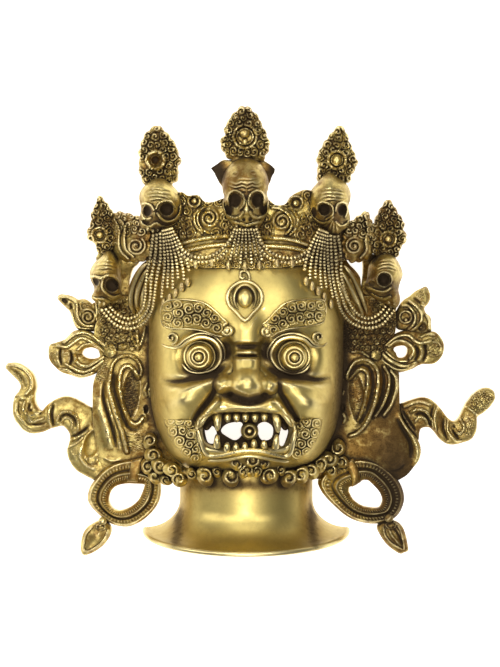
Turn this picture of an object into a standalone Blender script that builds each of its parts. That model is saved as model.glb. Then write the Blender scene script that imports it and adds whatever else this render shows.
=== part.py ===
# Hollow brass mask of a wrathful three-eyed deity, with a crown of five skulls.
# It lies on its back: +X is the viewer's right, +Y the crown, +Z out of the face.
# The back rim lies in the plane z = 0. All sizes are in metres.

import math

import bmesh
import bpy
from mathutils import Matrix, Vector

# Head: the carving is placed in shares of these three
HEAD_WIDTH = 0.133
HEAD_HEIGHT = 0.194
HEAD_DEPTH = 0.080
WALL = 0.0040

# Face
EYE_DIAMETER = 0.025
EYE_SOCKET_DEPTH = 0.010
LID_THICKNESS = 0.0055
BROW_THICKNESS = 0.013
NOSE_WIDTH = 0.034
NOSE_HEIGHT = 0.026
THIRD_EYE_WIDTH = 0.022
CHEEK_RISE = 0.006
MOUTH_WIDTH = 0.060
MOUTH_HEIGHT = 0.027
MOUTH_DEPTH = 0.012
MOUTH_GAP_WIDTH = 0.0118
LIP_THICKNESS = 0.008
TOOTH_LENGTH = 0.009
FANG_LENGTH = 0.012
BEARD_CURL = 0.010

# Neck and its flared foot
NECK_WIDTH = 0.090
FOOT_WIDTH = 0.137
NECK_LENGTH = 0.039
FOOT_LEAN = 0.12
RIM_THICKNESS = 0.0035

# Crown
CROWN_WIDTH = 0.190
CROWN_PLATE = 0.004
RAIL_THICKNESS = 0.0045
SKULL_WIDTH = 0.032
SKULL_HEIGHT = 0.041
FINIAL_WIDTH = 0.031
FINIAL_LENGTH = 0.036
FINIAL_PLATE = 0.007
STRAND_THICKNESS = 0.0045
CURL_DIAMETER = 0.014
CROSS_LEAF = (0.011, 0.008, 0.004)

# Ears, hair, bows and scarves
EAR_LENGTH = 0.056
EAR_WIDTH = 0.027
EAR_RIM = 0.006
SIDE_GAP_WIDTH = 0.0055
LOCK_WIDTH = 0.0105
LOCK_THICKNESS = 0.0065
BOW_RIB = 0.006
BOW_HOLE_WIDTH = 0.0135
BOW_HOLE_HEIGHT = 0.0085
SCARF_WIDTH = 0.0125
SCARF_THICKNESS = 0.006

# Earrings
RING_WIDTH = 0.052
RING_HEIGHT = 0.044
RING_HOLE = 0.018
RING_THICKNESS = 0.009
PENDANT_LENGTH = 0.026
PENDANT_WIDTH = 0.019

# Proportions of the head, as shares of its own size, and the fullness of its curves
MOUTH_LEVEL = -0.625
EYE_ACROSS = 0.445
EYE_LEVEL = -0.15
CROWN_SHARE = 0.81
JAW_ROUNDNESS = 2.6
BROW_ROUNDNESS = 2.4
FACE_FLATNESS = 3.0
JAW_FLATNESS = 5.5
DOME_ROUNDNESS = 2.2

# Fineness of the faceted solid
CLAY_STEP = 0.0010
FACET_COUNT = 9700
BRASS_COLOUR = (0.50, 0.36, 0.13, 1.0)


def spot(across, along, deep):
    # A place on the mask, in shares of the head's half width, half height and depth
    return Vector((across * HEAD_WIDTH / 2, along * HEAD_HEIGHT / 2, deep * HEAD_DEPTH))


def smooth(value):
    value = min(max(value, 0.0), 1.0)
    return value * value * (3 - 2 * value)


def signed_power(value, power):
    return math.copysign(abs(value) ** power, value)


def take_in(clay, mesh, matrix):
    # The clay is a list of overlapping meshes, joined at the end
    mesh.transform(matrix)
    clay.append(mesh)


def lump(clay, shape, matrix=Matrix.Identity(4)):
    mesh = bpy.data.meshes.new("lump")
    shape.to_mesh(mesh)
    shape.free()
    take_in(clay, mesh, matrix)


def ball(clay, centre, radii, turn=Matrix.Identity(4), segments=20, rings=12):
    shape = bmesh.new()
    bmesh.ops.create_uvsphere(shape, u_segments=segments, v_segments=rings, radius=1.0)
    lump(clay, shape, Matrix.Translation(centre) @ turn @ Matrix.Diagonal((*radii, 1.0)))


def cone(clay, base, tip, radius, tip_radius=0.0006):
    axis = tip - base
    turn = Vector((0, 0, 1)).rotation_difference(axis).to_matrix().to_4x4()
    shape = bmesh.new()
    bmesh.ops.create_cone(shape, cap_ends=True, segments=12, radius1=radius, radius2=tip_radius,
                          depth=axis.length)
    lump(clay, shape, Matrix.Translation((base + tip) / 2) @ turn)


def settled(holder):
    # The mesh that an object's curve or modifiers give, in place of the object
    found = holder.evaluated_get(bpy.context.evaluated_depsgraph_get())
    mesh = bpy.data.meshes.new_from_object(found)
    bpy.data.objects.remove(holder)
    return mesh


def curve_mesh(curve):
    holder = bpy.data.objects.new("curve", curve)
    bpy.context.scene.collection.objects.link(holder)
    return settled(holder)


def tube(clay, points, width, thickness=None, closed=False):
    # A smooth rope through the points, flattened in Z where it has a thickness
    flat = 1.0 if thickness is None else thickness / width
    curve = bpy.data.curves.new("rope", "CURVE")
    curve.dimensions = "3D"
    curve.resolution_u = 5
    curve.bevel_depth = width / 2
    curve.bevel_resolution = 3
    curve.use_fill_caps = not closed
    spline = curve.splines.new("BEZIER")
    spline.bezier_points.add(len(points) - 1)
    spline.use_cyclic_u = closed
    for knot, place in zip(spline.bezier_points, points):
        knot.co = (place[0], place[1], place[2] / flat)
        knot.handle_left_type = "AUTO"
        knot.handle_right_type = "AUTO"
    take_in(clay, curve_mesh(curve), Matrix.Diagonal((1.0, 1.0, flat, 1.0)))


def plate(clay, outline, thickness, placing):
    # A flat closed outline with a thickness, set in place by a matrix
    curve = bpy.data.curves.new("outline", "CURVE")
    curve.dimensions = "2D"
    curve.fill_mode = "BOTH"
    curve.extrude = thickness / 2
    spline = curve.splines.new("POLY")
    spline.points.add(len(outline) - 1)
    spline.use_cyclic_u = True
    for knot, place in zip(spline.points, outline):
        knot.co = (place[0], place[1], 0.0, 1.0)
    take_in(clay, curve_mesh(curve), placing)


def hoop(clay, width, height, thickness, placing, depth=None):
    # A closed ring lying in its own XY plane
    turns = 12
    ring = []
    for step in range(turns):
        angle = 2 * math.pi * step / turns
        ring.append(((width / 2) * math.cos(angle), (height / 2) * math.sin(angle), 0.0))
    tube(clay, ring, thickness, depth, closed=True)
    clay[-1].transform(placing)


def curl(clay, centre, diameter, turn=Matrix.Identity(4)):
    # A carved spiral curl: a ring round a bead
    placing = Matrix.Translation(centre) @ turn
    hoop(clay, diameter * 0.72, diameter * 0.72, diameter * 0.28, placing)
    ball(clay, centre, (diameter * 0.18,) * 3, turn, 8, 6)
    ball(clay, centre - turn @ Vector((0, 0, diameter * 0.25)), (diameter * 0.42,) * 3, turn, 10, 6)


def facing(swing, roll=0.0):
    # Turned about Y to face left or right, then about Z
    return Matrix.Rotation(roll, 4, "Z") @ Matrix.Rotation(swing, 4, "Y")


def in_mouth(place, margin):
    # 1 inside the mouth opening, 0 outside it, over a rounded rectangle
    middle = spot(0.0, MOUTH_LEVEL, 0.0)
    across = abs(place.x - middle.x) / (MOUTH_WIDTH / 2 - LIP_THICKNESS / 4 + margin)
    along = abs(place.y - middle.y) / (MOUTH_HEIGHT / 2 - LIP_THICKNESS / 4 + margin)
    reach = (across ** 3 + along ** 3) ** (1 / 3)
    return smooth((1.12 - reach) / 0.24)


def relief(place, margin):
    # How far the face is raised or sunk: sockets, cheeks and the mouth's recess
    rise = -MOUTH_DEPTH * in_mouth(place, margin)
    for side in (-1, 1):
        eye = spot(side * EYE_ACROSS, EYE_LEVEL, 0.0)
        reach = math.hypot(place.x - eye.x, place.y - eye.y) / (EYE_DIAMETER * 0.75 + margin)
        rise -= EYE_SOCKET_DEPTH * math.exp(-reach ** 4)
        cheek = spot(side * 0.60, -0.42, 0.0)
        reach = math.hypot((place.x - cheek.x) / 0.016, (place.y - cheek.y) / 0.018)
        rise += CHEEK_RISE * math.exp(-reach ** 2)
    return rise


def flatness(downward):
    # The face stays full towards the chin, where the jaw turns under more sharply
    return FACE_FLATNESS + (JAW_FLATNESS - FACE_FLATNESS) * max(-downward, 0.0) ** 2


def head(clay, inset):
    # A rounded dome whose outline is a superellipse, fuller at the jaw
    dome = bmesh.new()
    bmesh.ops.create_uvsphere(dome, u_segments=96, v_segments=64, radius=1.0)
    half_width = HEAD_WIDTH / 2 - inset
    chin = HEAD_HEIGHT / 2 - inset
    top = CROWN_SHARE * HEAD_HEIGHT / 2 - inset
    depth = HEAD_DEPTH - inset
    for vert in dome.verts:
        aim = vert.co.copy()
        out = math.hypot(aim.x, aim.y)
        along, power = (top, BROW_ROUNDNESS) if aim.y > 0 else (chin, JAW_ROUNDNESS)
        edge = 0.0
        if out > 1e-6:
            spread = (abs(aim.x / out) / half_width) ** power + (abs(aim.y / out) / along) ** power
            edge = spread ** (-1 / power) * out ** (2 / flatness(aim.y / out))
            vert.co.x = aim.x / out * edge
            vert.co.y = aim.y / out * edge
        vert.co.z = depth * signed_power(aim.z, 2 / DOME_ROUNDNESS)
        if aim.z > 0:
            vert.co.z += relief(vert.co, inset) * smooth(aim.z * 2.5)
    lump(clay, dome)


def face_depth(across, along):
    # Height of the head's surface under a place given in shares
    limit = CROWN_SHARE if along > 0 else 1.0
    power = BROW_ROUNDNESS if along > 0 else JAW_ROUNDNESS
    share = (abs(across) ** power + abs(along / limit) ** power) ** (1 / power)
    out = math.hypot(across * HEAD_WIDTH, along * HEAD_HEIGHT)
    turn = along * HEAD_HEIGHT / out if out > 0 else 0.0
    return max(1 - share ** flatness(turn), 0.0) ** (1 / DOME_ROUNDNESS)


def on_face(across, along, lift=0.0):
    return spot(across, along, face_depth(across, along)) + Vector((0, 0, lift))


def neck_profile(inset, drop):
    # Radii and heights down the neck, straight and then a quarter round out to the foot's rim
    chin = -HEAD_HEIGHT / 2
    radius = NECK_WIDTH / 2 - inset
    flare = FOOT_WIDTH / 2 - radius
    straight = chin - NECK_LENGTH * 0.45
    profile = [(radius, chin + HEAD_HEIGHT * 0.13 - inset)]
    steps = 10
    for step in range(steps + 1):
        angle = math.pi / 2 * step / steps
        level = straight - NECK_LENGTH * 0.5 * math.sin(angle) - drop
        profile.append((radius + flare * (1 - math.cos(angle)), level))
    return profile


def neck(clay, inset):
    # Half a turned bell: an ellipse deeper than it is wide, leaning forward at the foot
    drop = RIM_THICKNESS if inset > 0 else 0.0
    profile = neck_profile(inset, drop)
    end = profile[-1]
    profile.append((end[0], end[1] - (NECK_LENGTH if inset > 0 else RIM_THICKNESS)))
    points = [(0.0, profile[0][1])] + profile + [(0.0, profile[-1][1])]
    mesh = bpy.data.meshes.new("bell")
    edges = [(first, first + 1) for first in range(len(points) - 1)]
    mesh.from_pydata([(radius, level, 0.0) for radius, level in points], edges, [])
    holder = bpy.data.objects.new("bell", mesh)
    bpy.context.scene.collection.objects.link(holder)
    screw = holder.modifiers.new("turn", "SCREW")
    screw.axis = "Y"
    screw.steps = 48
    screw.render_steps = 48
    screw.use_merge_vertices = True
    screw.merge_threshold = 0.00001
    turned = settled(holder)
    for vert in turned.vertices:
        vert.co.y -= FOOT_LEAN * abs(vert.co.z)
    take_in(clay, turned, Matrix.Identity(4))


def eyes(clay):
    for side in (-1, 1):
        centre = on_face(side * EYE_ACROSS, EYE_LEVEL, -EYE_SOCKET_DEPTH * 0.9)
        radius = EYE_DIAMETER / 2
        ball(clay, centre, (radius, radius, radius * 0.75))
        front = centre + Vector((0, 0, radius * 0.55))
        hoop(clay, radius * 1.1, radius * 1.1, radius * 0.18, Matrix.Translation(front))
        ball(clay, front, (radius * 0.22,) * 3, segments=8, rings=6)
        for upper in (1, -1):
            lid = []
            for step in range(7):
                angle = math.pi * step / 6
                place = Vector((math.cos(angle) * radius * 1.35,
                                upper * math.sin(angle) * radius * 1.12, 0))
                reach = centre + place
                reach.z = centre.z + radius * (0.55 - 0.25 * abs(math.cos(angle)))
                lid.append(reach)
            tube(clay, lid, LID_THICKNESS)


def brows(clay):
    for side in (-1, 1):
        path = [on_face(side * 0.20, -0.01, 0.002), on_face(side * 0.30, 0.05, 0.003),
                on_face(side * 0.44, 0.11, 0.002), on_face(side * 0.60, 0.15, 0.001),
                on_face(side * 0.75, 0.15, 0.0)]
        tube(clay, path, BROW_THICKNESS * 1.5, BROW_THICKNESS)
        for share in range(5):
            place = path[share] + Vector((0, BROW_THICKNESS * 0.15, BROW_THICKNESS * 0.42))
            swing = facing(side * 0.18 * share)
            curl(clay, place, BROW_THICKNESS * 0.9, swing)


def nose(clay):
    tip = spot(0.03, -0.33, 1.02)
    ball(clay, tip, (NOSE_WIDTH * 0.32, NOSE_HEIGHT * 0.46, NOSE_HEIGHT * 0.48))
    for side in (-1, 1):
        wing = tip + Vector((side * NOSE_WIDTH * 0.38, -NOSE_HEIGHT * 0.07, -0.010))
        ball(clay, wing, (NOSE_WIDTH * 0.20, NOSE_HEIGHT * 0.33, NOSE_HEIGHT * 0.42))
    bridge = [on_face(0.03, -0.04, -0.002), on_face(0.03, -0.15, 0.001), tip]
    tube(clay, bridge, NOSE_WIDTH * 0.52)
    fold = [on_face(-0.17, -0.13, -0.002), on_face(0.03, -0.12, 0.006),
            on_face(0.23, -0.13, -0.002)]
    tube(clay, fold, NOSE_WIDTH * 0.26)


def third_eye(clay):
    centre = on_face(0.0, 0.25, 0.001)
    radius = THIRD_EYE_WIDTH / 2
    hoop(clay, radius * 1.7, radius * 2.0, radius * 0.5, Matrix.Translation(centre))
    ball(clay, centre, (radius * 0.62, radius * 0.75, radius * 0.55))
    point = [centre + Vector((0, -radius * share, -0.001)) for share in (0.7, 1.9)]
    cone(clay, point[0], point[1], radius * 0.5)


def mouth(clay):
    # Lips round the opening, two rows of teeth, four fangs and the tongue
    middle = spot(0.0, MOUTH_LEVEL, 0.0)
    lip = []
    turns = 16
    for step in range(turns):
        angle = 2 * math.pi * step / turns
        across = signed_power(math.cos(angle), 0.66) * MOUTH_WIDTH / 2
        along = signed_power(math.sin(angle), 0.66) * MOUTH_HEIGHT / 2
        place = middle + Vector((across, along, 0))
        shares = (place.x / (HEAD_WIDTH / 2), place.y / (HEAD_HEIGHT / 2))
        lip.append(on_face(*shares, LIP_THICKNESS * 0.30))
    tube(clay, lip, LIP_THICKNESS, closed=True)
    for upper in (1, -1):
        root = upper * (MOUTH_HEIGHT / 2 - TOOTH_LENGTH * 0.18)
        for column in (-0.18, -0.04, 0.085, 0.21):
            place = middle + Vector((column * MOUTH_WIDTH, root, 0))
            place.z = on_face(0.1, MOUTH_LEVEL).z - MOUTH_DEPTH * 0.30
            reach = (MOUTH_WIDTH * 0.062, TOOTH_LENGTH * 0.62, MOUTH_DEPTH * 0.55)
            ball(clay, place, reach, segments=10, rings=8)
        for side in (-1, 1):
            fang = middle + Vector((side * MOUTH_WIDTH * 0.32, root, 0))
            fang.z = on_face(0.3, MOUTH_LEVEL).z - MOUTH_DEPTH * 0.10
            cone(clay, fang, fang + Vector((0, -upper * FANG_LENGTH, -0.001)), MOUTH_WIDTH * 0.055)
            back = fang - Vector((0, upper * FANG_LENGTH * 0.3, MOUTH_DEPTH * 0.5))
            ball(clay, back, (MOUTH_WIDTH * 0.05, FANG_LENGTH * 0.45, MOUTH_DEPTH * 0.6),
                 segments=10, rings=8)
    tongue = on_face(0.04, MOUTH_LEVEL, -MOUTH_DEPTH * 0.55)
    ball(clay, tongue, (0.0055, 0.0055, MOUTH_DEPTH * 0.6))


def beard(clay):
    # The chin, curls round it and along the jaw, and a patch of curls by each mouth corner
    chin = spot(0.0, -0.855, 0.74)
    ball(clay, chin, (HEAD_WIDTH * 0.25, HEAD_HEIGHT * 0.075, HEAD_DEPTH * 0.24),
         segments=28, rings=16)
    for side in (-1, 1):
        for column in range(4):
            share = 0.10 + 0.15 * column
            level = -0.925 + 0.05 * column
            place = spot(side * share, level, 0.86 - 0.20 * column)
            curl(clay, place, BEARD_CURL, facing(side * 0.3 * column))
        for row in range(4):
            share = 0.56 + 0.04 * math.sin(row * 2.1)
            level = -0.52 - 0.105 * row
            swing = facing(side * 0.5)
            curl(clay, on_face(side * share, level, 0.001), BEARD_CURL, swing)
            curl(clay, on_face(side * (share + 0.14), level - 0.03, 0.0), BEARD_CURL, swing)
        jaw = [spot(side * 0.90, -0.86, 0.30), spot(side * 0.76, -0.90, 0.36),
               spot(side * 0.60, -0.93, 0.45), spot(side * 0.42, -0.96, 0.56)]
        tube(clay, jaw, BEARD_CURL)
        for place in jaw:
            curl(clay, place + Vector((0, 0, BEARD_CURL * 0.4)), BEARD_CURL, facing(side * 0.4))
    for row in range(3):
        for column in (-1, 0, 1):
            across = 0.06 + column * (0.10 - 0.02 * row)
            place = spot(across, -0.80 - 0.075 * row, 1.0 - 0.06 * row)
            ball(clay, place, (BEARD_CURL * 0.4,) * 3, segments=8, rings=6)


def crown_place(share, level, out=0.0):
    # A place on the crown's curved plate: share -1 to 1 round it, level a share of half the height
    angle = share * math.pi / 2 * 0.92
    across = math.sin(angle) * (CROWN_WIDTH / 2 + out)
    deep = HEAD_DEPTH * 0.96 * math.cos(angle) ** 0.95 + out * math.cos(angle)
    return Vector((across, level * HEAD_HEIGHT / 2, deep))


def crown_levels(share):
    # Lower and upper edges of the crown's plate
    reach = abs(share)
    lower = 0.44 - 0.34 * smooth((reach - 0.35) / 0.6)
    scallop = 0.03 * abs(math.sin(reach * 9.4))
    upper = 0.86 + scallop - 0.42 * smooth((reach - 0.45) / 0.5)
    return lower, upper


def crown_plate(clay):
    sheet = bmesh.new()
    bmesh.ops.create_grid(sheet, x_segments=48, y_segments=8, size=1.0)
    for vert in sheet.verts:
        lower, upper = crown_levels(vert.co.x)
        level = lower + (upper - lower) * (vert.co.y + 1) / 2
        vert.co = crown_place(vert.co.x, level)
    mesh = bpy.data.meshes.new("crown")
    sheet.to_mesh(mesh)
    sheet.free()
    holder = bpy.data.objects.new("crown", mesh)
    bpy.context.scene.collection.objects.link(holder)
    shell = holder.modifiers.new("wall", "SOLIDIFY")
    shell.thickness = CROWN_PLATE
    shell.offset = 0
    take_in(clay, settled(holder), Matrix.Identity(4))


def crown_ties(clay):
    # The forehead under the crown's plate, which joins it to the head
    for share in (-0.62, -0.42, -0.22, 0.22, 0.42, 0.62):
        level = crown_levels(share)[0] + 0.10
        front = crown_place(share, level)
        back = Vector((front.x * 0.62, front.y, front.z * 0.62))
        tube(clay, [back, (back + front) / 2, front], HEAD_WIDTH * 0.08)


def rails(clay):
    for level in (0.625, 0.545):
        path = [crown_place(share / 10, level - 0.07 * abs(share / 10), CROWN_PLATE * 0.6)
                for share in range(-6, 7)]
        tube(clay, path, RAIL_THICKNESS)


def strands(clay):
    # Strings of beads: a tassel under each skull, and swags between the tassels
    for skull in (-0.52, 0.0, 0.52):
        for column in (-2, -1, 0, 1, 2):
            top = crown_place(skull + column * 0.028, 0.72, 0.006)
            spread = skull * 1.04 + column * 0.035
            low = 0.46 - 0.02 * abs(column) if skull == 0 else 0.20
            bottom = crown_place(spread, low, 0.004 if skull == 0 else 0.0)
            middle = (top + bottom) / 2 + Vector((0, 0, 0.002))
            tube(clay, [top, middle, bottom], STRAND_THICKNESS)
    for side in (-1, 1):
        for row in range(3):
            swag = []
            for step in range(7):
                share = step / 6
                around = side * (0.07 + 0.36 * share)
                sag = math.sin(math.pi * share)
                level = 0.64 - 0.02 * row - (0.13 + 0.02 * row) * sag
                swag.append(crown_place(around, level, 0.004 + 0.001 * row))
            tube(clay, swag, STRAND_THICKNESS)
        for row in range(4):
            swag = []
            for step in range(7):
                share = step / 6
                around = side * (0.62 + 0.24 * share)
                level = 0.26 - 0.035 * row - 0.13 * math.sin(math.pi * share)
                swag.append(crown_place(around, level, 0.002))
            tube(clay, swag, STRAND_THICKNESS * 1.3)


def skull(clay, centre, swing, size):
    # Cranium, cheeks and upper jaw in one egg, with its sockets and nose pressed in
    half = SKULL_WIDTH * size / 2
    tall = SKULL_HEIGHT * size
    bone = bmesh.new()
    bmesh.ops.create_uvsphere(bone, u_segments=32, v_segments=24, radius=1.0)
    for vert in bone.verts:
        aim = vert.co.copy()
        narrow = 1.0 - 0.30 * smooth((-aim.y - 0.25) / 0.75)
        vert.co = Vector((aim.x * half * narrow, aim.y * tall * 0.5, aim.z * half * 0.88))
        if aim.z > 0:
            for side in (-1, 1):
                socket = (vert.co.x - side * half * 0.46, vert.co.y + tall * 0.12)
                reach = math.hypot(*socket) / (half * 0.38)
                vert.co.z -= half * 0.55 * math.exp(-reach ** 4)
            reach = math.hypot(vert.co.x * 1.6, vert.co.y + tall * 0.27) / (half * 0.2)
            vert.co.z -= half * 0.18 * math.exp(-reach ** 2)
    placing = Matrix.Translation(centre) @ facing(swing)
    lump(clay, bone, placing)
    for side in (-1, 1):
        rim = placing @ Matrix.Translation((side * half * 0.46, -tall * 0.12, half * 0.68))
        hoop(clay, half * 0.86, half * 0.94, half * 0.17, rim)
        cheek = placing @ Vector((side * half * 0.46, -tall * 0.30, half * 0.48))
        ball(clay, cheek, (half * 0.30, half * 0.20, half * 0.26), facing(swing), 10, 8)
    for column in range(-2, 3):
        tooth = placing @ Vector((column * half * 0.17, -tall * 0.42, half * 0.50))
        ball(clay, tooth, (half * 0.10, half * 0.26, half * 0.16), facing(swing), 8, 6)


def flame_outline():
    # A flame leaf: widest low down, drawn to a tip, with small lobes along its edge
    steps = 15
    right = []
    for step in range(steps):
        share = step / steps
        swell = math.sin(math.pi * (0.24 + 0.76 * share) ** 0.9) ** 0.8
        lobe = 1.0 + 0.07 * abs(math.sin(share * math.pi * 4))
        right.append((FINIAL_WIDTH / 2 * swell * lobe * 0.97, FINIAL_LENGTH * share))
    left = [(-across, along) for across, along in reversed(right)]
    return right + [(0.0, FINIAL_LENGTH)] + left


def finial(clay, foot, swing):
    # A flame leaf on a short stem behind the skull, with a ringed boss
    turn = facing(swing)
    placing = Matrix.Translation(foot) @ turn
    plate(clay, flame_outline(), FINIAL_PLATE, placing)
    middle = placing @ Vector((0, FINIAL_LENGTH * 0.42, FINIAL_PLATE * 0.5))
    boss = FINIAL_WIDTH * 0.44
    hoop(clay, boss, boss, boss * 0.26, Matrix.Translation(middle) @ turn)
    ball(clay, middle, (boss * 0.30,) * 3, turn, 10, 8)
    ridge = [placing @ Vector((0, FINIAL_LENGTH * share, FINIAL_PLATE * 0.45))
             for share in (0.66, 0.80, 0.93)]
    tube(clay, ridge, FINIAL_PLATE * 0.7)
    stem = [placing @ Vector((0, FINIAL_LENGTH * share, FINIAL_PLATE * lift))
            for share, lift in ((-0.30, -0.3), (0.0, 0.0), (0.25, 0.0))]
    tube(clay, stem, FINIAL_WIDTH * 0.62, FINIAL_PLATE * 1.5)


def crown(clay):
    crown_plate(clay)
    crown_ties(clay)
    rails(clay)
    strands(clay)
    # Each skull's share round the crown, level, swing and size, and the level of its finial's foot
    stations = [(0.0, 0.92, 0.0, 1.0, 1.12), (-0.375, 0.845, -0.42, 0.88, 1.005),
                (0.375, 0.845, 0.42, 0.88, 1.005), (-0.735, 0.38, -0.80, 0.80, 0.575),
                (0.735, 0.39, 0.80, 0.80, 0.575)]
    for share, level, swing, size, foot in stations:
        front = crown_place(share, level, SKULL_WIDTH * size * 0.30)
        skull(clay, front, swing, size)
        finial(clay, crown_place(share * 1.12, foot, 0.001), swing * 0.55)
    for side in (-1, 1):
        tip = crown_place(side * 0.19, 1.04, -0.004)
        ball(clay, tip, CROSS_LEAF, facing(0, side * -0.5), 8, 6)
        swing = facing(side * 0.25)
        curl(clay, crown_place(side * 0.165, 0.77, CROWN_PLATE * 0.7), CURL_DIAMETER, swing)
        curl(clay, crown_place(side * 0.245, 0.875, CROWN_PLATE * 0.7), CURL_DIAMETER * 0.6, swing)
        swing = facing(side * 0.75)
        curl(clay, crown_place(side * 0.62, 0.575, CROWN_PLATE * 0.7), CURL_DIAMETER * 0.9, swing)
        curl(clay, crown_place(side * 0.66, 0.68, 0.0), CURL_DIAMETER * 0.7, swing)


def ear(clay, side):
    middle = spot(side * 1.20, -0.42, 0.27)
    ball(clay, middle - Vector((0, 0, EAR_RIM)), (EAR_WIDTH * 0.60, EAR_LENGTH * 0.60, EAR_RIM))
    for ratio, lift in ((1.0, 0.0), (0.62, -0.001)):
        rim = []
        for step in range(10):
            angle = math.radians(-110 + 300 * step / 9)
            across = math.cos(angle) * EAR_WIDTH / 2 * ratio
            along = math.sin(angle) * EAR_LENGTH / 2 * (0.5 + ratio / 2)
            rim.append(middle + Vector((side * across, along, lift + 0.003)))
        tube(clay, rim, EAR_RIM * (0.5 + ratio / 2))
    lobe = [middle - Vector((side * EAR_WIDTH * 0.1, EAR_LENGTH * 0.42, 0.0)),
            middle - Vector((side * EAR_WIDTH * 0.15, EAR_LENGTH * 0.62, 0.004)),
            ring_centre(side) + Vector((side * 0.003, RING_HEIGHT * 0.36, RING_THICKNESS * 0.3))]
    tube(clay, lobe, EAR_RIM * 1.6)


def hair(clay, side):
    # Fluted locks behind the ear, fanning out to the scarf, and a lock beside the temple
    for column in range(7):
        top = 1.0 + 0.09 * column
        foot = 0.92 + 0.13 * column
        path = [spot(side * top, -0.10 - 0.035 * column, 0.08),
                spot(side * (top + 0.07), -0.38, 0.10),
                spot(side * (foot + 0.02), -0.68, 0.10),
                spot(side * foot, -0.93 + 0.03 * column, 0.08)]
        tube(clay, path, LOCK_WIDTH, LOCK_THICKNESS)
    for column in range(3):
        path = [spot(side * (0.97 + 0.03 * column), 0.47 - 0.02 * column, 0.42),
                spot(side * (1.04 + 0.06 * column), 0.27, 0.33),
                spot(side * (1.03 + 0.07 * column), 0.06, 0.22),
                spot(side * (0.98 + 0.07 * column), -0.16, 0.12)]
        tube(clay, path, LOCK_WIDTH, LOCK_THICKNESS)
    for column in range(3):
        path = [spot(side * (0.93 - 0.11 * column), -0.62 - 0.09 * column, 0.22),
                spot(side * (0.90 - 0.10 * column), -0.80 - 0.04 * column, 0.22),
                spot(side * (0.92 - 0.10 * column), -0.94, 0.20)]
        tube(clay, path, LOCK_WIDTH * 1.2, LOCK_THICKNESS)
    skirt = [spot(side * 1.60, -0.72, 0.13), spot(side * 1.66, -0.80, 0.13),
             spot(side * 1.52, -0.92, 0.12), spot(side * 1.35, -0.97, 0.12)]
    tube(clay, skirt, SCARF_WIDTH * 1.5, SCARF_THICKNESS * 1.3)
    backing = [spot(side * 1.02, -0.12, 0.06), spot(side * 1.06, -0.50, 0.06),
               spot(side * 1.00, -0.88, 0.06)]
    tube(clay, backing, LOCK_WIDTH * 2.2, LOCK_THICKNESS)
    web = [spot(side * 1.34, -0.74, 0.10), spot(side * 1.42, -0.88, 0.10)]
    tube(clay, web, LOCK_WIDTH * 2.2, LOCK_THICKNESS)


def scarf(clay, side):
    # The streamer leaves the hair at the jaw, rises, dips and flies up at its end
    if side < 0:
        path = [(-1.50, -0.92, 0.12), (-1.66, -0.77, 0.13), (-1.63, -0.60, 0.15),
                (-1.82, -0.515, 0.17), (-2.03, -0.60, 0.17), (-2.17, -0.635, 0.17),
                (-2.27, -0.515, 0.18), (-2.20, -0.375, 0.18), (-2.27, -0.27, 0.19),
                (-2.40, -0.225, 0.20)]
    else:
        path = [(1.50, -0.92, 0.12), (1.64, -0.74, 0.13), (1.56, -0.58, 0.15),
                (1.78, -0.515, 0.17), (1.95, -0.62, 0.17), (2.11, -0.69, 0.17),
                (2.24, -0.58, 0.18), (2.32, -0.445, 0.19), (2.44, -0.375, 0.20)]
    tube(clay, [spot(*place) for place in path], SCARF_WIDTH, SCARF_THICKNESS)
    fold = (SCARF_WIDTH * 0.8, SCARF_WIDTH * 0.7, SCARF_THICKNESS * 0.6)
    ball(clay, spot(side * 1.66, -0.54, 0.15), fold)


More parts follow.
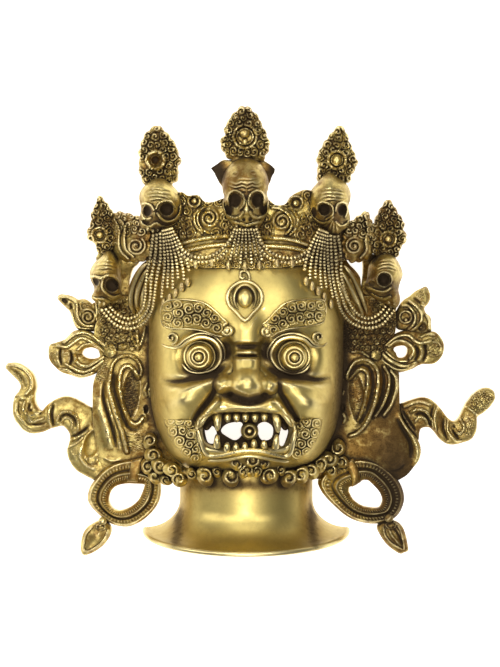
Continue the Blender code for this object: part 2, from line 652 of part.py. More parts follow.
def bow(clay, side):
    # The knotted loop beside the temple, its pleated end and the leaf scroll above it
    middle = spot(side * 1.56, -0.135, 0.20)
    for row in range(3):
        width = BOW_HOLE_WIDTH + BOW_RIB * (1.0 + row * 1.2)
        height = BOW_HOLE_HEIGHT + BOW_RIB * (1.0 + row * 1.1)
        hoop(clay, width, height, BOW_RIB, Matrix.Translation(middle - Vector((0, 0, 0.0015 * row))))
    knot = spot(side * 1.33, -0.13, 0.24)
    curl(clay, knot, CURL_DIAMETER * 0.75, facing(side * 0.3))
    tube(clay, [spot(side * 1.05, -0.10, 0.15), knot], BOW_RIB * 2)
    ball(clay, spot(side * 1.29, -0.03, 0.19), (LOCK_WIDTH, LOCK_WIDTH * 0.8, LOCK_THICKNESS * 0.6))
    ball(clay, spot(side * 1.52, 0.35, 0.22), (LOCK_WIDTH * 0.6, LOCK_WIDTH, LOCK_THICKNESS * 0.6))
    if side < 0:
        tail = [(-1.62, -0.05, 0.20), (-1.76, -0.07, 0.19), (-1.87, -0.15, 0.18), (-1.72, -0.23, 0.18)]
        tube(clay, [spot(*place) for place in tail], BOW_RIB * 2.6, BOW_RIB * 1.5)
    else:
        tail = [(1.62, -0.03, 0.20), (1.76, -0.07, 0.19), (1.82, -0.10, 0.18)]
        tube(clay, [spot(*place) for place in tail], BOW_RIB * 2.0, BOW_RIB * 1.4)
        ball(clay, spot(1.865, -0.07, 0.19), (0.0085, 0.0085, 0.006))
    scroll = spot(side * 1.61, 0.11, 0.20)
    curl(clay, scroll, CURL_DIAMETER, facing(side * 0.2))
    leaf = [(1.20, 0.16, 0.20), (1.42, 0.20, 0.19), (1.60, 0.24, 0.18), (1.76, 0.20, 0.17),
            (1.90, 0.24, 0.17)]
    edge = [(1.88, 0.22, 0.17), (1.80, 0.13, 0.17), (1.72, 0.02, 0.17), (1.60, -0.04, 0.18)]
    for path in (leaf, edge):
        tube(clay, [spot(side * place[0], place[1], place[2]) for place in path],
             BOW_RIB * 1.55, BOW_RIB * 1.2)
    ball(clay, spot(side * 1.68, 0.13, 0.17), (HEAD_WIDTH * 0.07, HEAD_HEIGHT * 0.055, BOW_RIB * 0.5))
    tube(clay, [spot(side * 1.20, 0.05, 0.17), spot(side * 1.40, 0.06, 0.18), scroll], BOW_RIB * 2.4,
         BOW_RIB * 1.4)


def ring_centre(side):
    # The earring hangs below the ear, beside the jaw
    return spot(side * 1.225, -0.97, 0.0) + Vector((0, -RING_HEIGHT * 0.30, 0.013))


def earring(clay, side):
    centre = ring_centre(side)
    band = (RING_WIDTH - RING_HOLE * 1.3) / 2
    tilt = Matrix.Rotation(side * -0.42, 4, "Z")
    placing = Matrix.Translation(centre) @ tilt
    hoop(clay, RING_WIDTH - band, RING_HEIGHT - band, band, placing, RING_THICKNESS)
    hoop(clay, RING_WIDTH - band * 0.5, RING_HEIGHT - band * 0.5, band * 0.4,
         placing @ Matrix.Translation((0, 0, RING_THICKNESS * 0.25)))
    hoop(clay, RING_WIDTH - band * 1.4, RING_HEIGHT - band * 1.4, band * 0.4,
         placing @ Matrix.Translation((0, 0, RING_THICKNESS * 0.30)))
    out = Vector((side * RING_WIDTH * 0.35, -RING_HEIGHT * 0.42, 0))
    knob = centre + out
    ball(clay, knob, (0.0045, 0.0045, 0.0055), segments=12, rings=8)
    lean = Matrix.Rotation(side * 0.42, 4, "Z")
    leaf = knob + lean @ Vector((0, -PENDANT_LENGTH * 0.52, 0))
    ball(clay, leaf, (PENDANT_WIDTH / 2, PENDANT_LENGTH / 2, 0.0045), lean)
    ball(clay, leaf, (PENDANT_WIDTH / 4, PENDANT_LENGTH / 3, 0.0075), lean, 12, 8)
    tie = [spot(side * 0.72, -0.93, 0.28), spot(side * 0.90, -0.93, 0.16),
           centre + tilt @ Vector((-side * RING_WIDTH * 0.36, RING_HEIGHT * 0.10, 0))]
    tube(clay, tie, LOCK_WIDTH, LOCK_THICKNESS * 1.3)


def clay_model():
    clay = []
    head(clay, 0.0)
    neck(clay, 0.0)
    eyes(clay)
    brows(clay)
    nose(clay)
    third_eye(clay)
    mouth(clay)
    beard(clay)
    crown(clay)
    for side in (-1, 1):
        ear(clay, side)
        hair(clay, side)
        bow(clay, side)
        scarf(clay, side)
        earring(clay, side)
    return clay


def as_object(name, clay, group):
    joined = bmesh.new()
    for piece in clay:
        joined.from_mesh(piece)
        bpy.data.meshes.remove(piece)
    mesh = bpy.data.meshes.new(name)
    joined.to_mesh(mesh)
    joined.free()
    made = bpy.data.objects.new(name, mesh)
    group.objects.link(made)
    return made


def bake(holder):
    # Turns the modifiers of an object into its mesh
    found = holder.evaluated_get(bpy.context.evaluated_depsgraph_get())
    mesh = bpy.data.meshes.new_from_object(found)
    old = holder.data
    holder.modifiers.clear()
    holder.data = mesh
    bpy.data.meshes.remove(old)


def melt(holder):
    # Joins the overlapping shapes of an object into one closed skin of small even faces
    union = holder.modifiers.new("union", "REMESH")
    union.mode = "VOXEL"
    union.voxel_size = CLAY_STEP
    bake(holder)


def hollow_core(group):
    # The cavity: the plain head and neck set in by the wall, with pockets behind the chin and nose
    core = []
    head(core, WALL)
    neck(core, WALL)
    nostrils = spot(0.03, -0.33, 0.98)
    ball(core, nostrils, (NOSE_WIDTH * 0.30 - WALL, NOSE_HEIGHT * 0.46 - WALL, NOSE_HEIGHT * 0.7 - WALL))
    chin = spot(0.0, -0.85, 0.58)
    ball(core, chin, (HEAD_WIDTH * 0.21, HEAD_HEIGHT * 0.055, HEAD_DEPTH * 0.23),
         segments=24, rings=14)
    made = as_object("hollow", core, group)
    melt(made)
    return made


def slot(cutter, middle, width, height, lean=0.0):
    # A rounded slot, right through the mask from front to back
    shape = bmesh.new()
    bmesh.ops.create_cone(shape, cap_ends=True, segments=10, radius1=0.5, radius2=0.5, depth=1.0)
    sized = Matrix.Diagonal((width, height, HEAD_DEPTH, 1.0))
    lump(cutter, shape, Matrix.Translation(middle) @ Matrix.Rotation(lean, 4, "Z") @ sized)


def slots(group):
    # Four gaps between the teeth, the tongue and the fangs, and a gap behind each temple lock
    cutter = []
    gaps = ((-0.38, 0.55, 0.95), (-0.15, 1.1, 0.9), (0.21, 0.85, 0.95), (0.395, 0.5, 1.05))
    for share, width, height in gaps:
        middle = spot(0.0, MOUTH_LEVEL, 0.6) + Vector((share * MOUTH_WIDTH, 0, 0))
        slot(cutter, middle, MOUTH_GAP_WIDTH * width, MOUTH_GAP_WIDTH * height)
    slot(cutter, spot(-1.13, 0.41, 0.5), SIDE_GAP_WIDTH, SIDE_GAP_WIDTH * 3.6, -0.40)
    slot(cutter, spot(1.14, 0.40, 0.5), SIDE_GAP_WIDTH, SIDE_GAP_WIDTH * 2.4, 0.10)
    return as_object("slots", cutter, group)


def cut(target, cutter, operation):
    modifier = target.modifiers.new("cut", "BOOLEAN")
    modifier.operation = operation
    modifier.object = cutter
    modifier.solver = "MANIFOLD"
    cutter.hide_render = True
    cutter.display_type = "WIRE"


def front_half(group, level):
    # Everything in front of a plane across the mask
    reach = HEAD_WIDTH * 4
    block = bmesh.new()
    placing = Matrix.Translation((0, 0, level + reach / 2)) @ Matrix.Diagonal((reach, reach, reach, 1.0))
    bmesh.ops.create_cube(block, size=1.0)
    half = []
    lump(half, block, placing)
    return as_object("front_half", half, group)


def brass():
    material = bpy.data.materials.new("brass")
    material.use_nodes = True
    surface = material.node_tree.nodes["Principled BSDF"]
    surface.inputs["Base Color"].default_value = BRASS_COLOUR
    surface.inputs["Metallic"].default_value = 1.0
    surface.inputs["Roughness"].default_value = 0.32
    return material


def drop_chips(made):
    # Where the cavity breaks through a corner it leaves a loose chip, which falls away
    shape = bmesh.new()
    shape.from_mesh(made.data)
    left = set(shape.verts)
    bodies = []
    while left:
        body = [left.pop()]
        for vert in body:
            for edge in vert.link_edges:
                other = edge.other_vert(vert)
                if other in left:
                    left.remove(other)
                    body.append(other)
        bodies.append(body)
    bodies.sort(key=len)
    for chip in bodies[:-1]:
        bmesh.ops.delete(shape, geom=chip, context="VERTS")
    shape.to_mesh(made.data)
    shape.free()


def centre_on_box(made):
    # Puts the middle of the mask's box on the Z axis
    places = [vert.co for vert in made.data.vertices]
    across = (min(place.x for place in places) + max(place.x for place in places)) / 2
    along = (min(place.y for place in places) + max(place.y for place in places)) / 2
    made.data.transform(Matrix.Translation((-across, -along, 0)))


def main():
    for old in list(bpy.data.objects):
        bpy.data.objects.remove(old)
    parts = bpy.data.collections.new("deity mask")
    cutters = bpy.data.collections.new("cutters")
    bpy.context.scene.collection.children.link(parts)
    bpy.context.scene.collection.children.link(cutters)

    mask = as_object("deity_mask", clay_model(), parts)
    melt(mask)
    cut(mask, hollow_core(cutters), "DIFFERENCE")
    cut(mask, slots(cutters), "DIFFERENCE")
    cut(mask, front_half(cutters, -WALL), "INTERSECT")
    bake(mask)
    drop_chips(mask)
    facets = mask.modifiers.new("facets", "DECIMATE")
    mask.data.calc_loop_triangles()
    facets.ratio = FACET_COUNT / len(mask.data.loop_triangles)
    bake(mask)
    cut(mask, front_half(cutters, 0.0), "INTERSECT")
    bake(mask)
    centre_on_box(mask)
    mask.data.materials.clear()
    mask.data.materials.append(brass())
    mask.data.shade_smooth()
    mask.data.set_sharp_from_angle(angle=math.radians(40))


main()
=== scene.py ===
import math

import bpy
import numpy as np
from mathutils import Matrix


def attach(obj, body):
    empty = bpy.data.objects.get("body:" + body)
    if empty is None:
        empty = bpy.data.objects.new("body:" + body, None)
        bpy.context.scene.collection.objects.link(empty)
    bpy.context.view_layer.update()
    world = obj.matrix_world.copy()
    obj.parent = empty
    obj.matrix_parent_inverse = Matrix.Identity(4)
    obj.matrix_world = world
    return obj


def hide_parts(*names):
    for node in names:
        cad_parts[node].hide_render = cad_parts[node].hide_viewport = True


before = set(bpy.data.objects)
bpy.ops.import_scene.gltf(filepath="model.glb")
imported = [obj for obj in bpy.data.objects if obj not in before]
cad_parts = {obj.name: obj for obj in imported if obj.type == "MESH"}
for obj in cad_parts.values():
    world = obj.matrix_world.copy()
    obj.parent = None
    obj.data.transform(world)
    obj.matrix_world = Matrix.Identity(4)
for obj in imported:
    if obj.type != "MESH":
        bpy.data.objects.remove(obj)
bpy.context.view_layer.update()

scene = bpy.context.scene
toMetres = 0.001
camera = {
    "height": 1200.0,          # above the floor, in mm
    "middle": (0.65, 2.5),     # the point it looks straight down at, in mm
    "widthSeen": 340.0,        # how much of the floor fits across the picture, in mm
    "picture": (500, 667),
}

pixelSize = camera["widthSeen"] / camera["picture"][0]


# Places and paths

def seenAt(places):
    # Picture plane: a place in the picture, in mm on the floor behind it, from its pixel
    places = np.asarray(places, float)
    across = (places[..., 0] - camera["picture"][0] / 2) * pixelSize
    along = (camera["picture"][1] / 2 - places[..., 1]) * pixelSize
    return np.stack([across, along], -1)


def raised(flat, height):
    # A picture place brought up to a height: it moves towards the camera's axis in proportion
    nearer = 1 - height / camera["height"]
    across = camera["middle"][0] + flat[..., 0] * nearer
    along = camera["middle"][1] + flat[..., 1] * nearer
    return np.stack([across, along, np.broadcast_to(height, across.shape)], -1)


def seenFrom(points):
    # The reverse: where a point in mm is seen, on the picture plane
    nearer = 1 - points[..., 2] / camera["height"]
    across = (points[..., 0] - camera["middle"][0]) / nearer
    along = (points[..., 1] - camera["middle"][1]) / nearer
    return np.stack([across, along], -1)


def spots(places):
    # Pixels with a height in mm, as points in mm
    places = np.asarray(places, float)
    return raised(seenAt(places), places[..., 2])


def raisedOn(flat, surface, lift=0.0, start=50.0, rounds=5):
    # Picture places set down on a surface of known height, by nearing the height a few times
    height = np.full(flat.shape[:-1], start)
    for _ in range(rounds):
        point = raised(flat, height)
        height = surface(point[..., 0], point[..., 1]) + lift
    return raised(flat, height)


def onSurface(places, surface, lift=0.0):
    # The same from pixels, and more finely
    return raisedOn(seenAt(places), surface, lift, 60.0, 8)


def smoothPath(knots, count, closed=False):
    # A cubic through the knots whose slope at each is half the step between its neighbours
    knots = np.asarray(knots, float)
    if closed:
        ends = np.vstack([knots[-1:], knots, knots[:2]])
    else:
        ends = np.vstack([2 * knots[:1] - knots[1:2], knots, 2 * knots[-1:] - knots[-2:-1]])
    share = np.linspace(0, 1, 17)[:-1][None, :, None]
    first, second, third, fourth = (ends[start:len(ends) - 3 + start, None, :] for start in range(4))
    curve = 0.5 * (2 * second + (third - first) * share
                   + (2 * first - 5 * second + 4 * third - fourth) * share ** 2
                   + (3 * second - first - 3 * third + fourth) * share ** 3)
    curve = np.vstack([curve.reshape(-1, knots.shape[1]), knots[:1] if closed else knots[-1:]])
    reach = np.concatenate([[0], np.cumsum(np.linalg.norm(np.diff(curve[:, :3], axis=0), axis=1))])
    where = np.linspace(0, reach[-1], count + 1 if closed else count)
    path = np.stack([np.interp(where, reach, column) for column in curve.T], 1)
    return path[:-1] if closed else path


def pathLength(path):
    return np.linalg.norm(np.diff(path, axis=0), axis=1).sum()


# Shapes: a shape is its points, its four-sided faces and its three-sided faces

def closedShape(points, loop=False, strip=False, poles=None):
    # Rows of points joined into a tube, each row closed on itself. The ends are closed by a fan,
    # or by a strip where strip says so, and loop joins the last row to the first instead
    rows, columns = points.shape[:2]
    verts = points.reshape(-1, 3)
    index = np.arange(rows * columns).reshape(rows, columns)
    ring = np.hstack([index, index[:, :1]])
    if loop:
        ring = np.vstack([ring, ring[:1]])
    quads = np.stack([ring[:-1, :-1], ring[:-1, 1:], ring[1:, 1:], ring[1:, :-1]], -1).reshape(-1, 4)
    tris = np.zeros((0, 3), int)
    if strip:
        half = columns // 2
        for row, turn in ((index[0], 1), (index[-1], -1)):
            near, far = row[:half], row[::-1][:half]
            cap = np.stack([near[:-1], far[:-1], far[1:], near[1:]], -1)
            quads = np.vstack([quads, cap[:, ::turn]])
    elif not loop:
        middles = poles if poles is not None else (points[0].mean(0), points[-1].mean(0))
        for number, (row, turn) in enumerate(((ring[0], 1), (ring[-1], -1))):
            verts = np.vstack([verts, middles[number]])
            centre = np.full(columns, len(verts) - 1)
            tris = np.vstack([tris, np.stack([row[1:], row[:-1], centre], -1)[:, ::turn]])
    corners = np.vstack([quads[:, [0, 1, 2]], quads[:, [0, 2, 3]], tris])
    first, second, third = (verts[corners[:, corner]] for corner in range(3))
    if np.einsum("ij,ij->i", first, np.cross(second, third)).sum() < 0:
        quads, tris = quads[:, ::-1], tris[:, ::-1]
    return verts, quads, tris


def ringProfile(count=10):
    angle = 2 * math.pi * np.arange(count) / count
    return np.stack([np.cos(angle), np.sin(angle)], 1)


def roundEnds(count, start=0.1, end=0.1):
    # 1 along the middle, falling in a quarter round at each end
    share = np.linspace(0, 1, count)
    grown = np.ones(count)
    for reach, left in ((start, share), (end, 1 - share)):
        if reach > 0:
            grown = grown * np.sqrt(np.clip(1 - (1 - np.clip(left / reach, 0.02, 1)) ** 2, 0, 1))
    return grown


def sweep(path, width, height=None, profile=None, loop=False, ends=(0.08, 0.08), roll=0.0, strip=False):
    # A profile carried along a path, square to it and upright; width and height are the whole sizes
    path = path[:, :3]
    if loop:
        ahead = np.roll(path, -1, 0) - np.roll(path, 1, 0)
    else:
        ahead = np.gradient(path, axis=0)
    ahead = ahead / np.linalg.norm(ahead, axis=1, keepdims=True)
    side = np.cross(np.array([0.0, 0.0, 1.0]), ahead)
    side = side / np.maximum(np.linalg.norm(side, axis=1, keepdims=True), 1e-9)
    up = np.cross(ahead, side)
    turn = np.broadcast_to(roll, len(path))[:, None]
    side, up = side * np.cos(turn) + up * np.sin(turn), up * np.cos(turn) - side * np.sin(turn)
    profile = ringProfile() if profile is None else profile
    height = width if height is None else height
    grown = np.ones(len(path)) if loop or strip else roundEnds(len(path), *ends)
    wide = (np.broadcast_to(width, len(path)) / 2 * grown)[:, None, None]
    tall = (np.broadcast_to(height, len(path)) / 2 * grown)[:, None, None]
    points = (path[:, None] + side[:, None] * profile[None, :, :1] * wide
              + up[:, None] * profile[None, :, 1:] * tall)
    return closedShape(points, loop=loop, strip=strip)


def turnedShape(profile, centre, tilt=(0.0, 0.0), around=48, oval=(1.0, 1.0)):
    # A profile of radius and height turned round the up axis, then tilted to one side and forward
    profile = np.asarray(profile, float)
    angle = 2 * math.pi * np.arange(around) / around
    radius = profile[1:-1, 0][:, None]
    points = np.stack([radius * np.cos(angle) * oval[0], radius * np.sin(angle) * oval[1],
                       np.broadcast_to(profile[1:-1, 1][:, None], (len(profile) - 2, around))], -1)
    ends = [np.array([0.0, 0.0, profile[place, 1]]) for place in (0, -1)]
    verts, quads, tris = closedShape(points, poles=ends)
    return tilted(verts, tilt) + np.asarray(centre), quads, tris


def tilted(points, tilt):
    # Turned about Y by the first angle, which faces it left or right, and about X by the second
    across, along, high = points[..., 0], points[..., 1], points[..., 2]
    (swingCos, swingSin), (nodCos, nodSin) = ((math.cos(angle), math.sin(angle)) for angle in tilt)
    along, high = along * nodCos - high * nodSin, along * nodSin + high * nodCos
    across, high = across * swingCos + high * swingSin, high * swingCos - across * swingSin
    return np.stack([across, along, high], -1)


def ballShape(centre, size, tilt=(0.0, 0.0), around=16, rings=9):
    angle = np.linspace(0, math.pi, rings + 2)
    profile = np.stack([np.sin(angle), np.cos(angle)], 1)
    verts, quads, tris = turnedShape(profile, (0, 0, 0), around=around)
    return tilted(verts * np.asarray(size) / 2, tilt) + np.asarray(centre), quads, tris


def beadString(path, bead, pitch, around=6, rows=6):
    # A string of round beads: the thickness along the path is a half circle for each bead
    count = max(int(round(pathLength(path) / pitch)), 2)
    fine = smoothPath(path, count * rows + 1)
    share = (np.arange(count * rows + 1) / rows) % 1.0
    thick = bead * np.maximum(np.sqrt(1 - (2 * share - 1) ** 2), 0.38)
    return sweep(fine, thick, ends=(0, 0), profile=ringProfile(around))


# Relief: heights worked out over the picture plane, from the distance to lines drawn on it

def distanceTo(flat, line):
    # How far each place is from the nearest point of a line, and how far along it that point is
    nearest = np.full(flat.shape[:-1], 1e9)
    along = np.zeros(flat.shape[:-1])
    for number, (start, end) in enumerate(zip(line[:-1], line[1:])):
        step = end - start
        share = np.clip(((flat - start) @ step) / max(step @ step, 1e-9), 0, 1)
        gap = np.linalg.norm(flat - start - share[..., None] * step, axis=-1)
        closer = gap < nearest
        nearest = np.where(closer, gap, nearest)
        along = np.where(closer, (number + share) / (len(line) - 1), along)
    return nearest, along


def drawn(knots, count=14, closed=False):
    # A smooth line on the picture plane from its pixels
    line = smoothPath(seenAt(knots), count, closed)
    return np.vstack([line, line[:1]]) if closed else line


def ovalOffset(flat, centre, turn=0.0):
    # How far places are from a centre, across and along an oval that is turned by an angle
    offset = flat - seenAt(centre)
    return (offset[..., 0] * math.cos(turn) + offset[..., 1] * math.sin(turn),
            offset[..., 1] * math.cos(turn) - offset[..., 0] * math.sin(turn))


def halfRound(share):
    # The height of a half circle over its width, where 0 is the middle and 1 the edge
    return np.sqrt(np.clip(1 - share ** 2, 0, 1))


def ridge(flat, knots, width, height, closed=False, taper=0.25, count=14):
    # A rounded ridge or groove along a line, thinning out over the taper at each end
    gap, along = distanceTo(flat, drawn(knots, count, closed))
    ends = 1.0 if closed or taper <= 0 else np.clip(np.minimum(along, 1 - along) / taper, 0, 1) ** 0.5
    return height * ends * np.exp(-(gap / (width * 0.6)) ** 2)


def cordRidge(flat, knots, width, height, closed=False, count=20):
    # The same with the cross section of a half-round cord, which stands out crisply
    gap, _ = distanceTo(flat, drawn(knots, count, closed))
    return height * halfRound(2 * gap / width)


def mound(flat, centre, size, height, power=2.0, turn=0.0):
    # A bell-shaped rise over an oval, flatter on top as the power grows
    across, along = ovalOffset(flat, centre, turn)
    return height * np.exp(-np.hypot(across / size[0], along / size[1]) ** power)


def scroll(centre, radius, turns=1.6, hand=1, start=0.0, closing=0.86):
    # The pixels of a spiral from its outer end inward, closing in by a share of its radius
    share = np.linspace(0, 1, 22)
    angle = start + hand * 2 * math.pi * turns * share
    out = radius * (1 - closing * share)
    return np.stack([centre[0] + out * np.cos(angle), centre[1] - out * np.sin(angle)], 1)


curlStyle = {
    "border": 1.1,      # how wide the groove between two curls is, in mm
    "turnStep": 2.4,    # how far each curl is turned from the one before
    "ground": 0.40,     # the share of its height at which a curl's groove lies
}


def curlField(flat, centres, radius, pitch, height):
    # Each place belongs to its nearest centre, and winds round it: the ridge's phase is the distance
    # over the pitch less the angle over a whole turn, and it sinks between one curl and the next
    offset = flat[..., None, :] - seenAt(centres)
    number = np.arange(offset.shape[-2])
    gaps = np.linalg.norm(offset, axis=-1)
    owner = gaps.argmin(-1)[..., None]
    nearest = np.partition(gaps, 1, axis=-1)[..., :2]
    gap = nearest[..., 0]
    border = np.clip((nearest[..., 1] - gap) / curlStyle["border"], 0, 1) ** 0.6
    hands = np.where(number % 2 == 0, 1, -1)
    angle = np.arctan2(offset[..., 1], offset[..., 0]) * hands + number * curlStyle["turnStep"]
    angle = np.take_along_axis(angle, owner, -1)[..., 0]
    winding = 0.5 + 0.5 * np.cos(2 * math.pi * (gap / pitch) - angle)
    domed = np.clip(1 - (gap / radius) ** 4, 0, 1) * border
    return height * domed * (curlStyle["ground"] + (1 - curlStyle["ground"]) * winding)


def scattered(left, top, right, bottom, spacing, clear=(), rowStep=0.87, nudge=0.22):
    # Pixels set out in staggered rows, each nudged by a wave, leaving the clear circles empty
    down = np.arange(top, bottom, spacing * rowStep)
    across, below = np.meshgrid(np.arange(left, right, spacing), down)
    across = across + spacing * 0.5 * (np.arange(len(down)) % 2)[:, None]
    across = across + spacing * nudge * np.sin(below * 1.7 + across * 0.9)
    below = below + spacing * nudge * np.sin(across * 2.1 + below * 0.6)
    places = np.stack([across.ravel(), below.ravel()], 1)
    for x, y, radius in clear:
        places = places[np.hypot(places[:, 0] - x, places[:, 1] - y) > radius]
    return places


def socket(flat, centre, size, depth, turn=0.0):
    # A bowl pressed in over an oval, its size in pixels: deepest in the middle, steep at its edge
    across, along = ovalOffset(flat, centre, turn)
    reach = np.hypot(across / size[0], along / size[1]) / pixelSize
    return -depth * np.clip(1 - reach ** 2.6, 0, 1) ** 0.65


def dome(flat, centre, size, height, turn=0.0):
    # The same, raised as a round boss
    return -socket(flat, centre, size, height, turn)


def circle(flat, centre, radius, width, height, oval=1.0):
    # A cord round a circle given in pixels
    across, along = ovalOffset(flat, centre)
    gap = np.abs(np.hypot(across, along / oval) - radius * pixelSize)
    return height * halfRound(2 * gap / width)


def spiral(flat, centre, radius, turns, hand, start, width, height):
    return ridge(flat, scroll(centre, radius, turns, hand, start), width, height, taper=0.06, count=40)


# The angle and the stretch of each wave
grainWaves = ((0.3, 1.0), (1.0, 1.31), (1.65, 0.83), (2.25, 1.17), (2.9, 0.92))


def grain(flat, centre, size, pitch, height):
    # Stippling over an oval: five waves crossing at unlike angles, each bent by another
    across, along = ovalOffset(flat, centre)
    inside = np.clip(4 * (1 - np.hypot(across / size[0], along / size[1]) / pixelSize), 0, 1)
    waves = 0.0
    for angle, stretch in grainWaves:
        along = flat[..., 0] * math.cos(angle) + flat[..., 1] * math.sin(angle)
        crossing = (flat[..., 1] * math.cos(angle) - flat[..., 0] * stretch) / pitch
        bent = along + 0.7 * pitch * np.sin(crossing * 1.3)
        waves = waves + np.sin(2 * math.pi * bent / pitch / stretch)
    return height * inside * np.clip(waves / 2.5, -1, 1)


makers = {"ridge": ridge, "cord": cordRidge, "mound": mound, "curls": curlField, "socket": socket,
          "dome": dome, "circle": circle, "spiral": spiral, "grain": grain}


def worked(flat, features):
    # The sum of a list of features, each a maker's name and its values
    total = np.zeros(flat.shape[:-1])
    for kind, *values in features:
        total += makers[kind](flat, *values)
    return total


# Worked plates: their tops take a list of features drawn in the picture's pixels

def pillow(pairs, top, under, features=(), columns=40, rows=90, power=3.0, ends=(0.0, 0.0), surface=None,
           loop=False, weave=None):
    # A plate between two edges, each pair holding a pixel of one, a pixel of the other and their
    # heights. Across it the top rises as a flattened round, then takes its features
    pairs = np.array([pair if len(pair) == 6 else (*pair, pair[-1]) for pair in pairs], float)
    knots = np.hstack([seenAt(pairs[:, :2]), pairs[:, 4:5], seenAt(pairs[:, 2:4]), pairs[:, 5:6]])
    lines = smoothPath(knots, rows, loop)
    even = np.linspace(0, 1, columns)
    across = 0.75 * (0.5 - 0.5 * np.cos(math.pi * even)) + 0.25 * even
    blend = lines[:, None, :3] + (lines[:, None, 3:] - lines[:, None, :3]) * across[None, :, None]
    flat, height = blend[..., :2], blend[..., 2]
    grown = (1.0 if loop else roundEnds(rows, *ends)) * np.ones(rows)
    rise = np.clip(1 - np.abs(2 * across - 1) ** power, 0, 1) ** (1 / power) * grown[:, None]
    lift = top * rise + worked(flat, features) * np.clip(rise * 1.6, 0, 1)
    if weave is not None:
        middle = blend[:, columns // 2]
        along = np.concatenate([[0], np.cumsum(np.linalg.norm(np.diff(middle, axis=0), axis=1))])
        lift = lift + weave(across[None, :], along[:, None]) * grown[:, None]
    upper = raised(flat, height + lift) if surface is None else raisedOn(flat, surface, lift)
    low = np.linspace(0, 1, 6)
    lower = upper[:, -1:] + (upper[:, :1] - upper[:, -1:]) * low[None, :, None]
    lower[..., 2] = np.maximum(lower[..., 2] - under, 0.0)
    return closedShape(np.concatenate([upper, lower], 1), loop=loop)


def medallion(outline, peak, low, depth, features=(), rings=60, around=180, power=2.0, under=8.0,
              crown=2.0, surface=None, scallops=0, scallop=0.0):
    # A plate whose outline is seen from its peak all round: rings of points from the peak outward,
    # the height falling as a round, then a wall down from the outline
    rim, middle = smoothPath(seenAt(outline), around, True), seenAt(peak)
    wave = np.abs(np.sin(math.pi * scallops * np.arange(around) / around))[:, None] - 0.5
    outward = (rim - middle) / np.linalg.norm(rim - middle, axis=1, keepdims=True)
    rim = rim + outward * wave * scallop * pixelSize
    share = np.sin(np.linspace(0, math.pi / 2, rings + 1)[1:]) ** 0.9
    flat = middle + (rim - middle)[None] * share[:, None, None]
    height = low + depth * np.clip(1 - share ** power, 0, 1)[:, None] ** (1 / crown)
    height = height + worked(flat, features) * np.clip((1 - share) * 25, 0, 1)[:, None]
    upper = raised(flat, height) if surface is None else raisedOn(flat, surface, height - low)
    wall = np.repeat(upper[-1:], 3, 0)
    wall[..., 2] -= np.array([0.15, 0.6, 1.0])[:, None] * under
    wall[..., 2] = np.maximum(wall[..., 2], 0.0)
    lift = worked(middle[None], features)[0]
    top = low + depth + lift if surface is None else raisedOn(middle[None], surface, depth + lift)[0, 2]
    poles = (raised(middle, np.array(top)), wall[-1].mean(0))
    return closedShape(np.concatenate([upper, wall]), poles=poles)


# Finishes

class Wire:
    # A shader value: arithmetic on it adds a Math node to its tree
    def __init__(self, tree, socket):
        self.tree = tree
        self.socket = socket

    def joined(self, operation, first, second):
        return addNode(self.tree, "ShaderNodeMath", {"operation": operation}, {0: first, 1: second})

    def __add__(self, other):
        return self.joined("ADD", self, other)

    def __sub__(self, other):
        return self.joined("SUBTRACT", self, other)

    def __rsub__(self, other):
        return self.joined("SUBTRACT", other, self)

    def __mul__(self, other):
        return self.joined("MULTIPLY", self, other)

    __radd__ = __add__
    __rmul__ = __mul__


def addNode(tree, kind, settings, sockets, output=0):
    # Any node: its settings first, then the values or links of its sockets
    node = tree.nodes.new(kind)
    for name, value in settings.items():
        if name == "stops":
            ramp = node.color_ramp
            while len(ramp.elements) < len(value):
                ramp.elements.new(0.5)
            for element, (place, colour) in zip(ramp.elements, value):
                element.position = place
                element.color = (*colour, 1.0)
        else:
            setattr(node, name, value)
    for name, value in sockets.items():
        if isinstance(value, Wire):
            tree.links.new(value.socket, node.inputs[name])
        else:
            node.inputs[name].default_value = value
    return Wire(tree, node.outputs[output])


def between(tree, value, low, high, lowOut=0.0, highOut=1.0):
    # The value's place between two levels, held at both ends
    levels = {"From Min": low, "From Max": high, "To Min": lowOut, "To Max": highOut, "Value": value}
    return addNode(tree, "ShaderNodeMapRange", {"clamp": True}, levels)


def noise(tree, where, scale, detail=3.0, roughness=0.55):
    sockets = {"Vector": where, "Scale": scale, "Detail": detail, "Roughness": roughness}
    return addNode(tree, "ShaderNodeTexNoise", {}, sockets)


def mixedByName(tree, share, first, second):
    # The colour sockets of a Mix node share their names with its other sorts, so they go by number
    node = tree.nodes.new("ShaderNodeMix")
    node.data_type = "RGBA"
    for place, value in ((0, share), (6, first), (7, second)):
        if isinstance(value, Wire):
            tree.links.new(value.socket, node.inputs[place])
        else:
            node.inputs[place].default_value = value
    return Wire(tree, node.outputs[2])


